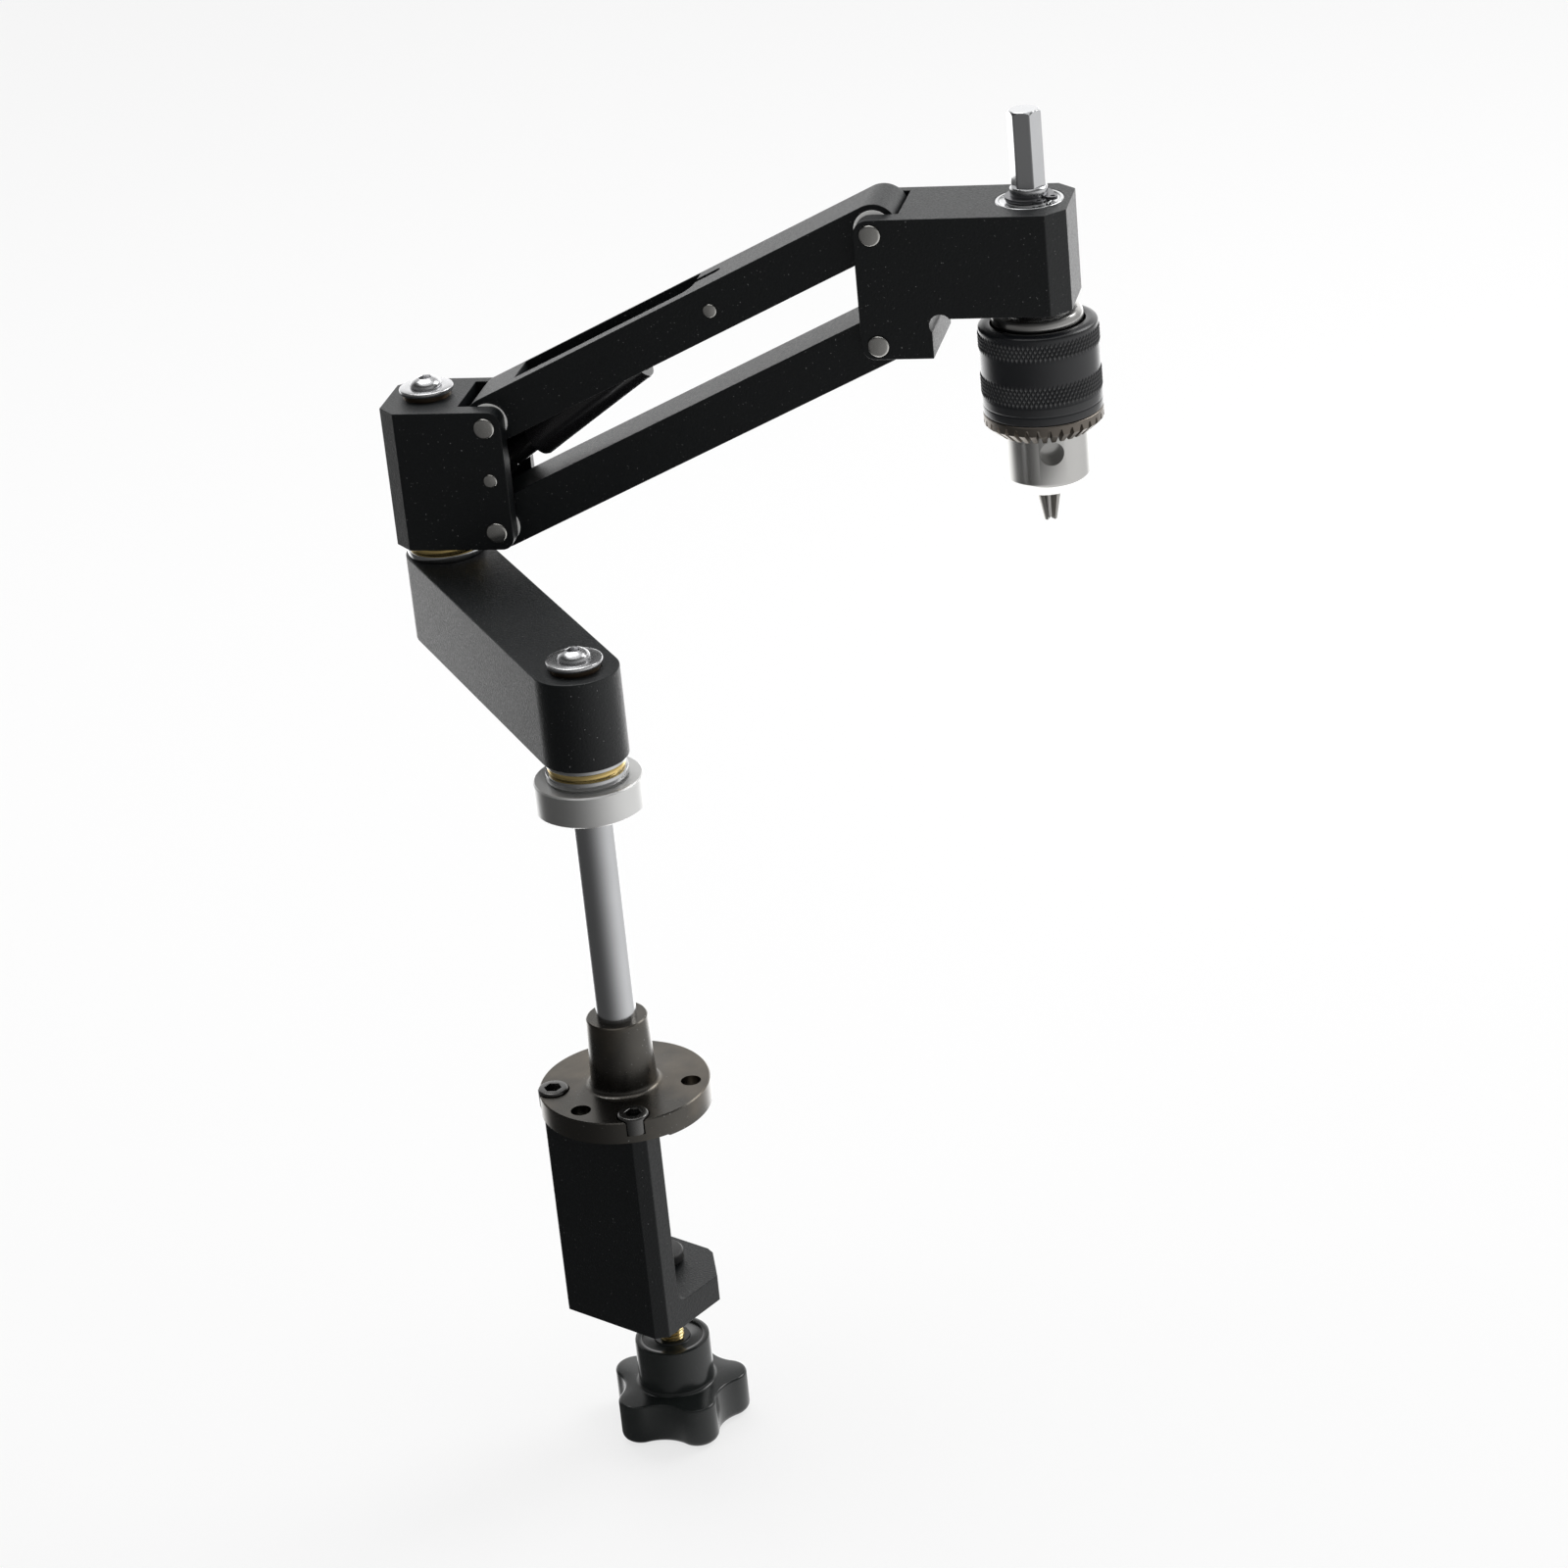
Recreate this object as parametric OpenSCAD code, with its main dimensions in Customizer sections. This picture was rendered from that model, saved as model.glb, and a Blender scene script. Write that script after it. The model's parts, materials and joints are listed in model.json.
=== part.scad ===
// Bench-clamped arm tapping machine, rebuilt as separate sub-parts.
// Units mm, +Z up. Origin: flange underside on the column axis; +X is the way the lower jaw points.

/* [Pose in the photograph] */
// Heading of the swing link from the jaw direction (deg)
link_heading = 61.4; // [-180:0.1:180]
// Heading of the parallel arm from the jaw direction (deg)
arm_heading = -63.2; // [-180:0.1:180]
// Elevation of the two parallel bars (deg)
bar_lift = 25; // [-30:0.5:34]
// Heading of one key hole of the chuck (deg)
key_heading = -137; // [-180:1:180]
// Heading of one corner of the drive hex (deg)
hex_heading = -65.3; // [-180:0.1:180]

/* [Bench clamp] */
// Height of the bracket below the flange underside
bracket_height = 74; // [50:1:110]
// Width of the bracket
bracket_width = 44; // [30:1:60]
// Thickness of the upright web
web_thick = 10; // [8:0.5:16]
// Distance from the column axis to the back of the web
web_back = 20; // [16:0.5:24]
// Corner cut on the back of the web
web_corner = 3.5; // [2:0.5:6]
// Depth of the step under the flange that the web stands in
web_rise = 0.5; // [0.2:0.1:2]
// Radius between the web and the lower jaw
inner_round = 4; // [2:0.5:8]
// Reach of the lower jaw in front of the column axis
jaw_reach = 22; // [15:0.5:40]
// Thickness of the lower jaw
jaw_thick = 9.5; // [8:0.5:16]
// Corner cut on the free end of the jaw
jaw_corner = 12; // [4:0.5:16]
// Distance of the clamp screw in front of the column axis
screw_x = 8.5; // [4:0.5:11]
// Thread diameter of the clamp screw
screw_d = 8; // [6:1:12]
// Diameter of the pressure pad
pad_d = 14; // [10:0.5:20]
// Height of the pressure pad
pad_h = 4; // [3:0.5:8]
// Top face of the knob's hub in the photograph
hub_top = -93.8; // [-120:0.1:-80]
// Height of the knob's hub
hub_h = 16.6; // [10:0.1:20]
// Diameter of the knob's hub
hub_d = 25.4; // [20:0.1:30]
// Radius over the knob's lobes
lobe_r = 23.6; // [20:0.1:30]
// Rounding radius of a lobe
lobe_round = 7; // [5:0.5:9]
// Radius in the knob's valleys
valley_r = 17.8; // [15:0.1:22]
// Height of the lobed body
lobe_h = 15; // [10:0.5:20]

/* [Base and column] */
// Diameter of the base flange
flange_d = 56; // [40:1:80]
// Thickness of the base flange
flange_t = 8; // [6:0.5:12]
// Height of the boss top over the flange underside
boss_top = 32.5; // [20:0.5:50]
// Diameter of the boss at its top
boss_d = 20; // [18:0.5:30]
// Circle of the three plain holes
hole_circle = 44; // [36:1:50]
// Diameter of the plain holes
hole_d = 6.6; // [5:0.1:9]
// Diameter of the column
column_d = 13; // [12:0.5:20]
// Diameter of the two upright journals
journal_d = 12; // [10:0.5:14]
// Height of the collar underside
collar_z = 107.5; // [80:0.5:160]
// Thickness of the collar
collar_t = 10.5; // [8:0.5:16]
// Diameter of the collar
collar_d = 35; // [28:0.5:45]

/* [Pivot bearings] */
// Outer diameter of the bushes
bush_d = 16; // [14:0.5:20]
// Outer diameter of the thick steel rings
race_d = 26.4; // [24:0.1:28]
// Thickness of the thick steel rings
race_t = 2.4; // [1.5:0.1:4]
// Outer diameter of the thin steel rings
thin_race_d = 26; // [24:0.1:28]
// Thickness of the steel ring under the swing link
link_race_t = 1.4; // [1:0.1:3]
// Thickness of the steel ring under the elbow block
block_race_t = 2; // [1:0.1:3]
// Outer diameter of the brass cages
cage_d = 25; // [22:0.5:26]
// Thickness of the brass cages
cage_t = 2.3; // [1.5:0.1:4]
// Diameter of the big washers
washer_d = 18; // [16:0.5:24]
// Thickness of the big washers
washer_t = 1.6; // [1:0.1:3]

/* [Swing link] */
// Distance between the two upright axes
link_len = 120; // [80:1:200]
// Width of the swing link
link_w = 28; // [24:0.5:40]
// Thickness of the swing link
link_t = 30; // [20:0.5:40]

/* [Elbow block] */
// Height of the elbow block
elbow_h = 48; // [40:0.5:60]
// Thickness of the cheeks on the side of the camera
near_cheek = 6.25; // [4:0.25:10]
// Thickness of the opposite cheeks
far_cheek = 3.75; // [3:0.25:10]
// Block behind the elbow axis
elbow_back = 13; // [12:0.5:20]
// Block in front of the elbow axis
elbow_front = 29; // [24:0.5:40]
// Corner cut of the block
block_cut = 6; // [2:0.5:8]
// Corner radius of the cheeks
cheek_round = 4.25; // [2:0.25:5]

/* [Parallel bars] */
// Distance between the pins of a bar
bar_len = 146.5; // [100:0.5:220]
// Distance between the upper and the lower bar
bar_gap = 36.5; // [30:0.5:50]
// Height of a bar
bar_h = 16; // [12:0.5:24]
// Width of a bar
bar_w = 22.5; // [16:0.25:23]
// Pins of the elbow block from the elbow axis
pin_x = 23.5; // [18:0.5:30]
// Upper pin below the top of the elbow block
pin_drop = 5.5; // [5:0.25:10]
// Diameter of the four bar pins
pin_d = 7; // [5:0.5:9]
// Outer diameter of the nylon rings beside the bars
spacer_d = 12.5; // [11:0.1:15]
// Thickness of the nylon rings
spacer_t = 0.45; // [0.2:0.05:1]
// Diameter of the bushes in the bars
bar_bush_d = 9.5; // [8:0.1:12]
// Diameter of the two strut pins
strut_pin_d = 4.6; // [3:0.1:6]
// Strut pin of the upper bar from its rear pin
strut_pin_x = 85.5; // [60:0.5:120]
// Plane of the strut from the plane of the bars
strut_y = 2.5; // [1.5:0.1:2.8]
// Diameter of the strut tube
tube_d = 15; // [12:0.5:15]
// Length of the strut tube
tube_len = 46.6; // [30:0.1:48]
// Diameter of the strut rod
rod_d = 6; // [5:0.5:8]

/* [Head] */
// Head block behind its pins
head_back = 5.5; // [5:0.25:10]
// Head block in front of its pins
head_front = 61.5; // [50:0.5:80]
// Upper pin below the top of the head block
head_drop = 5; // [5:0.25:10]
// Height of the body around the spindle
head_h = 33; // [26:0.5:45]
// Height of the part that carries the pins
head_low = 46; // [40:0.5:60]
// Length of the part that carries the pins, in front of them
head_step = 17.5; // [14:0.5:24]
// Spindle axis in front of the pins
spindle_x = 48.25; // [40:0.25:60]
// Outer diameter of the spindle's ball bearings
bearing_d = 22; // [20:1:26]
// Width of the spindle's ball bearings
bearing_w = 7; // [5:0.5:9]
// Diameter of the spindle
spindle_d = 12; // [10:0.5:16]
// Width across the flats of the drive hex
hex_af = 9.5; // [8:0.1:13]
// Top of the drive hex over the head block
hex_top = 29; // [20:0.5:40]

/* [Chuck, measured down from the top of the head block] */
// Diameter of the sleeve
sleeve_d = 39; // [34:0.5:46]
// Top of the sleeve
sleeve_top = 39.5; // [36:0.1:44]
// Lower edge of the upper knurled band
knurl_end = 48; // [45:0.5:52]
// Upper edge of the lower knurled band
knurl_start = 55.5; // [53:0.5:58]
// Lower edge of the lower knurled band
knurl_low = 63.2; // [60:0.1:66]
// Bottom of the sleeve's plain band
sleeve_bottom = 69.3; // [67:0.1:80]
// Diameter of the chuck body below the sleeve
chuck_d = 29; // [24:0.5:34]
// Top of the chuck body
chuck_top = 35.8; // [34:0.1:38]
// Foot of the chuck body
chuck_bottom = 96.5; // [90:0.1:110]
// Lower edge of the toothed ring
gear_bottom = 76.2; // [72:0.1:84]
// Teeth of the toothed ring
gear_teeth = 33; // [20:1:40]
// Axis of the key holes
key_z = 80.3; // [78:0.1:88]
// Diameter of the key holes
key_d = 7.9; // [6:0.1:9]
// Diameter of a jaw
jaw_d = 6.3; // [5:0.1:8]
// Inclination of the jaws (deg)
jaw_tilt = 15; // [14:0.1:16]
// Tips of the closed jaws
tip_drop = 107.5; // [100:0.5:120]

/* [Hidden] */
$fn = 96;
through = 60;                     // longer than any piece that a tool passes through
overlap = 0.01;                   // pieces of one solid reach this far into each other
press = 0.01;                     // radial clearance of what is pressed together
fit = 0.04;                       // radial running fit
gap = 0.3;                        // between faces that pass each other
m6_r = 3;
m6_tap_r = m6_r + press;
m6_clear_r = m6_r + 0.3;
m6_head_r = 5;
m6_head_h = 6;
m6_depth = 18;                    // tapped depth in the journals
journal_r = journal_d / 2;
bush_r = bush_d / 2;
link_half = link_w / 2;
flange_screw_x = -web_back + 4;   // flange screws stand over the web
flange_screw_y = bracket_width / 2 - 5;
seat_z = flange_t - 5;            // counterbore floor of the flange screws
flange_screw_len = 14;
column_z = 1.5;                   // lower end of the column in the flange
boss_taper = 0.9;
collar_lip = 0.6;                 // raised seat on the collar for the lower ring
washer_gap = 1.6;                 // journals end this far over link and block
bush_lip = 1.2;                   // bushes stand this far over link and block
stack_z = collar_z + collar_t + collar_lip;
link_z = stack_z + race_t + cage_t + gap + link_race_t;
link_top = link_z + link_t;
elbow_z = link_top + race_t + cage_t + gap + block_race_t;
elbow_top = elbow_z + elbow_h;
elbow_x = link_len * cos(link_heading);
elbow_y = link_len * sin(link_heading);
pin_z = elbow_top - pin_drop;
pad_gap = 0.3;
pad_z = jaw_thick - bracket_height + pad_gap;
screw_tip_r = 2.5;                // turned tip of the clamp screw, in the pad
screw_tip_h = 2.4;
knob_depth = 12;                  // clamp screw inside the knob
slot_half = bar_w / 2 + gap + spacer_t;
near_y = slot_half + near_cheek;  // faces of the block and the head, from the plane of the bars
far_y = slot_half + far_cheek;
eye_room = bar_h / 2 + gap;       // front of the head's slot from its pins
strut_drop = bar_gap / 2;
strut_rise = strut_pin_x * sin(bar_lift) + strut_drop;
strut_run = strut_pin_x * cos(bar_lift);
strut_len = sqrt(strut_run * strut_run + strut_rise * strut_rise);
strut_angle = atan2(strut_rise, strut_run);
tube_start = 13.2;                // rear end of the tube from its pin
dome_pin = 0.9;                   // bar pins stand this far proud
dome_strut = 0.7;
bar_turn = [0, -bar_lift, 0];
gear_top = sleeve_bottom - 2.1;   // the ring reaches this far up inside the sleeve

// Frames of the moving pieces, at the pose of the photograph
module at_link() { rotate([0, 0, link_heading]) children(); }
module at_pivot() { at_link() translate([link_len, 0, 0]) children(); }
module at_elbow() { translate([elbow_x, elbow_y, 0]) rotate([0, 0, arm_heading]) children(); }
module at_pins() { at_elbow() translate([pin_x, 0, pin_z]) children(); }
module at_upper() { at_pins() rotate(bar_turn) children(); }
module at_lower() { at_pins() translate([0, 0, -bar_gap]) rotate(bar_turn) children(); }
module at_strut() { at_pins() translate([0, strut_y, -strut_drop]) rotate([0, -strut_angle, 0]) children(); }
module at_head() { at_pins() translate([bar_len * cos(bar_lift), 0, bar_len * sin(bar_lift)]) children(); }
module at_spindle() { at_head() translate([spindle_x, 0, head_drop]) children(); }
module turned_to_key(k) { rotate([0, 0, key_heading - arm_heading + 120 * k]) children(); }
module jaw_axis() { translate([-1, 0, -tip_drop]) rotate([0, jaw_tilt, 0]) children(); }

// Shared shapes
module tube(r1, r2, h) {
  difference() {
    cylinder(r = r2, h = h);
    translate([0, 0, -1]) cylinder(r = r1, h = h + 2);
  }
}
module lying(h) { rotate([90, 0, 0]) translate([0, 0, -h / 2]) children(); }
module cross_hole(r) { lying(through) cylinder(r = r, h = through); }
module pair_of_pins() { for (z = [0, -bar_gap]) translate([0, 0, z]) children(); }
module both_ends() { for (x = [0, bar_len]) translate([x, 0, 0]) children(); }

// Shallow dome standing on z = 0
module cap(r, h) {
  ball_r = (r * r + h * h) / (2 * h);
  intersection() {
    cylinder(r = r, h = h);
    translate([0, 0, h - ball_r]) sphere(r = ball_r);
  }
}

// Pin along Y with domed ends that stand h proud
module domed_pin(r, y0, y1, h) {
  translate([0, y1, 0]) rotate([90, 0, 0]) cylinder(r = r, h = y1 - y0);
  translate([0, y1, 0]) rotate([-90, 0, 0]) cap(r, h);
  translate([0, y0, 0]) rotate([90, 0, 0]) cap(r, h);
}

// Hexagon prism by its width across the flats
module hex_prism(flats, h) { cylinder(r = flats / 2 / cos(30), h = h, $fn = 6); }

// M6 cap screw, underside of the head at z = 0
module socket_screw(len) {
  edge = 0.4;
  difference() {
    union() {
      cylinder(r = m6_head_r, h = m6_head_h - edge);
      translate([0, 0, m6_head_h - edge]) cylinder(r1 = m6_head_r, r2 = m6_head_r - edge, h = edge);
      translate([0, 0, -len]) cylinder(r = m6_r, h = len);
    }
    translate([0, 0, m6_head_h / 2]) hex_prism(5, m6_head_h);
  }
}

// M6 button head bolt, underside of the head at z = 0
module button_bolt(len) {
  r = 5.25;
  rim = 0.5;
  dome = 2.8;
  socket_z = 1.4;
  difference() {
    union() {
      cylinder(r = r, h = rim);
      translate([0, 0, rim]) cap(r, dome);
      translate([0, 0, -len]) cylinder(r = m6_r, h = len);
    }
    translate([0, 0, socket_z]) hex_prism(4, rim + dome);
  }
}
module big_washer() { tube(m6_r + 0.2, washer_d / 2, washer_t); }

// Thrust ring with small outer chamfers
module race(r1, r2, h) {
  cut = 0.3;
  rotate_extrude() polygon([[r1, 0], [r2 - cut, 0], [r2, cut], [r2, h - cut], [r2 - cut, h], [r1, h]]);
}

// Brass cage with the pockets of its balls
module cage() {
  balls = 12;
  pocket_r = 1.5;
  inner_r = 7.2;
  difference() {
    tube(inner_r, cage_d / 2, cage_t);
    for (k = [1:balls]) rotate([0, 0, 360 / balls * k])
      translate([(inner_r + cage_d / 2) / 2, 0, -1]) cylinder(r = pocket_r, h = cage_t + 2);
  }
}

// Two bushes in a bore of height h, the upper one with a lip that stands out at the top
module bush_pair(h, len) {
  tube(journal_r + fit, bush_r, len);
  translate([0, 0, h - len]) tube(journal_r + fit, bush_r, len);
  translate([0, 0, h]) tube(journal_r + fit, bush_r - 0.6, bush_lip);
}

// Bench clamp, which stays with the bench
module bracket_side() {
  foot = -bracket_height;
  difference() {
    union() {
      translate([-web_back, foot]) square([web_thick, bracket_height + web_rise]);
      translate([-web_back, foot]) square([web_back + jaw_reach, jaw_thick]);
      translate([web_thick - web_back - overlap, foot + jaw_thick - overlap]) square(inner_round);
    }
    translate([web_thick - web_back + inner_round, foot + jaw_thick + inner_round]) circle(r = inner_round);
  }
}
module bracket_plan() {
  half = bracket_width / 2;
  nose = [1.2, 1.4, 1.6];         // short facet between the corner cut and the front face
  side = [
    [-web_back, half - web_corner], [-web_back + web_corner, half], [jaw_reach - jaw_corner, half],
    [jaw_reach - nose.x, half - jaw_corner + nose.y], [jaw_reach, half - jaw_corner - nose.z]];
  polygon(concat(side, [for (i = [4:-1:0]) [side[i].x, -side[i].y]]));
}
module clamp_bracket() {
  facet = 6;
  color("#26282a") difference() {
    intersection() {
      lying(bracket_width) linear_extrude(bracket_width) bracket_side();
      translate([0, 0, -bracket_height - 1]) linear_extrude(bracket_height + 2) bracket_plan();
    }
    // slanted facets on top of the two cut corners
    for (s = [-1, 1])
      translate([-web_back + web_corner / 2, s * (bracket_width - web_corner) / 2, -2.2])
        rotate([0, 0, s * -45]) rotate([0, -45, 0]) translate([-facet, -facet, 0])
          cube([facet, 2 * facet, 2 * facet]);
    // tapped hole of the clamp screw
    translate([screw_x, 0, -bracket_height - 1]) cylinder(r = screw_d / 2 + 0.05, h = jaw_thick + 2);
    at_flange_screws() translate([0, 0, 1 - flange_screw_len])
      cylinder(r = m6_tap_r, h = flange_screw_len);
  }
}
module at_flange_screws() { for (s = [-1, 1]) translate([flange_screw_x, s * flange_screw_y, 0]) children(); }
module base_flange() {
  edge = 0.4;
  fillet = 2;
  flange_r = flange_d / 2;
  boss_r = boss_d / 2;
  foot_r = boss_r + boss_taper;
  color("#4b4b48") difference() {
    union() {
      rotate_extrude() polygon([
        [0, 0], [flange_r, 0], [flange_r, flange_t - edge], [flange_r - edge, flange_t], [foot_r, flange_t],
        [foot_r, flange_t + 0.5], [boss_r, boss_top - edge], [boss_r - edge, boss_top], [0, boss_top]]);
      // fillet at the foot of the boss
      difference() {
        translate([0, 0, flange_t - overlap]) cylinder(r = foot_r + fillet, h = fillet);
        translate([0, 0, flange_t + fillet]) rotate_extrude() translate([foot_r + fillet, 0])
          circle(r = fillet);
      }
    }
    translate([0, 0, column_z]) cylinder(r = column_d / 2 + press, h = boss_top);
    // step over the web, so that the bench top meets only the face in front of it
    translate([-through, -through, -1])
      cube([through - web_back + web_thick + gap, 2 * through, 1 + web_rise]);
    at_flange_screws() {
      translate([0, 0, -1]) cylinder(r = m6_clear_r, h = flange_t);
      translate([0, 0, seat_z]) cylinder(r = m6_head_r + 0.4, h = flange_t);
    }
    for (k = [0:2]) rotate([0, 0, 180 + 120 * k])
      translate([hole_circle / 2, 0, -1]) cylinder(r = hole_d / 2, h = flange_t + 2);
  }
}
module flange_screws() {
  color("#2b2c2e") at_flange_screws() translate([0, 0, seat_z]) socket_screw(flange_screw_len);
}
module column() {
  top = link_top + washer_gap;
  color("#b9bcbe") difference() {
    union() {
      translate([0, 0, column_z]) cylinder(r = column_d / 2, h = collar_z + collar_t - column_z);
      translate([0, 0, column_z]) cylinder(r = journal_r, h = top - column_z);
    }
    translate([0, 0, top - m6_depth]) cylinder(r = m6_tap_r, h = m6_depth + 2);
  }
}
module column_collar() {
  edge = 0.5;
  r = collar_d / 2;
  inner = column_d / 2 + press;
  lip_r = 12.2;
  color("#c3c4c3") translate([0, 0, collar_z]) difference() {
    rotate_extrude() polygon([
      [inner, 0], [r - edge, 0], [r, edge], [r, collar_t - edge], [r - edge, collar_t],
      [lip_r, collar_t], [lip_r, collar_t + collar_lip], [inner, collar_t + collar_lip]]);
    // set screw hole at the back
    translate([0, 0, collar_t / 2]) rotate([0, 90, 40]) cylinder(r = 2, h = 30);
  }
}
module column_race() {
  color("#aeb0b1") translate([0, 0, stack_z]) race(journal_r + 0.1, race_d / 2, race_t);
}
module column_cage() { color("#b8983e") translate([0, 0, stack_z + race_t]) cage(); }
module column_washer() { color("#c9cbcc") translate([0, 0, link_top + washer_gap]) big_washer(); }
module column_bolt() { color("#d0d2d3") translate([0, 0, link_top + washer_gap + washer_t]) button_bolt(16); }

// Clamp screw, its tip and knob
module pressure_pad() {
  edge = 0.6;
  r = pad_d / 2;
  color("#1d1e20") translate([screw_x, 0, pad_z]) difference() {
    rotate_extrude()
      polygon([[0, 0], [r - edge, 0], [r, edge], [r, pad_h - edge], [r - edge, pad_h], [0, pad_h]]);
    translate([0, 0, -1]) cylinder(r = screw_tip_r + 0.05, h = screw_tip_h + 0.8);
  }
}
module clamp_screw() {
  color("#b89a4a") translate([screw_x, 0, 0]) {
    translate([0, 0, hub_top - knob_depth])
      cylinder(r = screw_d / 2, h = pad_z - pad_gap - hub_top + knob_depth);
    translate([0, 0, pad_z - pad_gap - 0.1]) cylinder(r = screw_tip_r, h = screw_tip_h);
  }
}

// Star outline: five lobes, and between them the circles that touch two neighbouring lobes
module star_profile() {
  lobes = 5;
  half_step = 180 / lobes;
  lobe_x = lobe_r - lobe_round;
  valley_round = (lobe_x * lobe_x + valley_r * valley_r - 2 * lobe_x * valley_r * cos(half_step)
    - lobe_round * lobe_round) / (2 * lobe_round - 2 * valley_r + 2 * lobe_x * cos(half_step));
  valley_x = valley_r + valley_round;
  difference() {
    union() {
      polygon([for (k = [0:2 * lobes - 1])
        (k % 2 == 0 ? lobe_x : valley_x) * [cos(half_step * k), sin(half_step * k)]]);
      for (k = [1:lobes]) rotate(360 / lobes * k) translate([lobe_x, 0]) circle(r = lobe_round);
    }
    for (k = [1:lobes]) rotate(360 / lobes * k + half_step) translate([valley_x, 0]) circle(r = valley_round);
  }
}
module star_knob() {
  turn = 24.8;
  edge = 0.6;
  r = hub_d / 2;
  low = hub_top - hub_h - lobe_h;
  color("#141516") translate([screw_x, 0, 0]) rotate([0, 0, turn]) difference() {
    union() {
      translate([0, 0, hub_top - hub_h - 1]) cylinder(r = r, h = hub_h + 1 - edge);
      translate([0, 0, hub_top - edge]) cylinder(r1 = r, r2 = r - edge, h = edge);
      intersection() {
        translate([0, 0, low]) linear_extrude(lobe_h) star_profile();
        translate([0, 0, low]) rotate_extrude() polygon([
          [0, 0], [lobe_r - 3, 0], [lobe_r - 1.3, 0.7], [lobe_r - 0.4, 2], [lobe_r, 4],
          [lobe_r, lobe_h - 0.8], [lobe_r - 0.8, lobe_h], [0, lobe_h]]);
      }
    }
    translate([0, 0, hub_top - knob_depth]) cylinder(r = screw_d / 2 + press, h = 20);
    // ring groove in the hub's top
    translate([0, 0, hub_top - 0.8]) tube(6, 10.5, 2);
  }
}

// Swing link and what turns with it
module swing_link() {
  color("#2a2c2e") at_link() translate([0, 0, link_z]) difference() {
    union() {
      cylinder(r = link_half, h = link_t);
      translate([link_len, 0, 0]) cylinder(r = link_half, h = link_t);
      translate([0, -link_half, 0]) cube([link_len, link_w, link_t]);
    }
    translate([0, 0, -1]) cylinder(r = bush_r, h = link_t + 2);
    translate([link_len, 0, 1]) cylinder(r = journal_r + press, h = link_t);
  }
}
module swing_race() {
  color("#aeb0b1") translate([0, 0, link_z - link_race_t])
    race(journal_r + 0.35, thin_race_d / 2, link_race_t);
}
module swing_bushes() { color("#a9855a") translate([0, 0, link_z]) bush_pair(link_t, 13); }
module elbow_pivot() {
  top = elbow_top + washer_gap;
  color("#b9bcbe") at_pivot() difference() {
    translate([0, 0, link_z + 1]) cylinder(r = journal_r, h = top - link_z - 1);
    translate([0, 0, top - m6_depth]) cylinder(r = m6_tap_r, h = m6_depth + 2);
  }
}
module elbow_race() {
  color("#aeb0b1") at_pivot() translate([0, 0, link_top]) race(journal_r + press, race_d / 2, race_t);
}
module elbow_cage() { color("#b8983e") at_pivot() translate([0, 0, link_top + race_t]) cage(); }
module elbow_washer() { color("#c9cbcc") at_pivot() translate([0, 0, elbow_top + washer_gap]) big_washer(); }
module elbow_bolt() {
  color("#d0d2d3") at_pivot() translate([0, 0, elbow_top + washer_gap + washer_t]) button_bolt(16);
}

// What a rounded cheek corner takes away; corner at the origin, block towards -X and -Z
module corner_round(r) {
  lying(through) difference() {
    translate([-r, -r]) cube([r + 1, r + 1, through]);
    translate([-r, -r, -1]) cylinder(r = r, h = through + 2);
  }
}
module elbow_block() {
  slot_x = pin_x - bar_h / 2 - 2;
  color("#2a2c2e") at_elbow() difference() {
    translate([0, 0, elbow_z]) linear_extrude(elbow_h) polygon([
      [-elbow_back + block_cut, -near_y], [elbow_front, -near_y], [elbow_front, far_y],

        [-elbow_back + block_cut, far_y], [-elbow_back, far_y - block_cut],
        [-elbow_back, -near_y + block_cut]]);
    translate([0, 0, elbow_z - 1]) cylinder(r = bush_r, h = elbow_h + 2);
    translate([slot_x, -slot_half, elbow_z - 1]) cube([elbow_front, 2 * slot_half, elbow_h + 2]);
    translate([elbow_front, 0, elbow_top]) corner_round(cheek_round);
    translate([elbow_front, 0, elbow_z]) mirror([0, 0, 1]) corner_round(cheek_round);
    translate([pin_x, 0, pin_z]) pair_of_pins() cross_hole(pin_d / 2 + press);
    translate([pin_x, 0, pin_z - strut_drop]) cross_hole(strut_pin_d / 2 + press);
  }
}
module block_race() {
  color("#aeb0b1") at_elbow() translate([0, 0, elbow_z - block_race_t])
    race(journal_r + 0.35, thin_race_d / 2, block_race_t);
}
module elbow_bushes() { color("#a9855a") at_elbow() translate([0, 0, elbow_z]) bush_pair(elbow_h, 16); }
module rear_pins() {
  color("#b4b6b7") at_pins() pair_of_pins() domed_pin(pin_d / 2, -near_y, far_y, dome_pin);
}
module rear_strut_pin() {
  color("#b4b6b7") at_pins() translate([0, 0, -strut_drop])
    domed_pin(strut_pin_d / 2, -near_y, far_y, dome_strut);
}

// Nylon rings against the inner faces of the cheeks
module spacers() {
  for (s = [-1, 1])
    translate([0, s * (slot_half - spacer_t / 2), 0])
      lying(spacer_t) tube(pin_d / 2 + press, spacer_d / 2, spacer_t);
}
module rear_spacers() { color("#eeeeea") at_pins() pair_of_pins() spacers(); }

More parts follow.
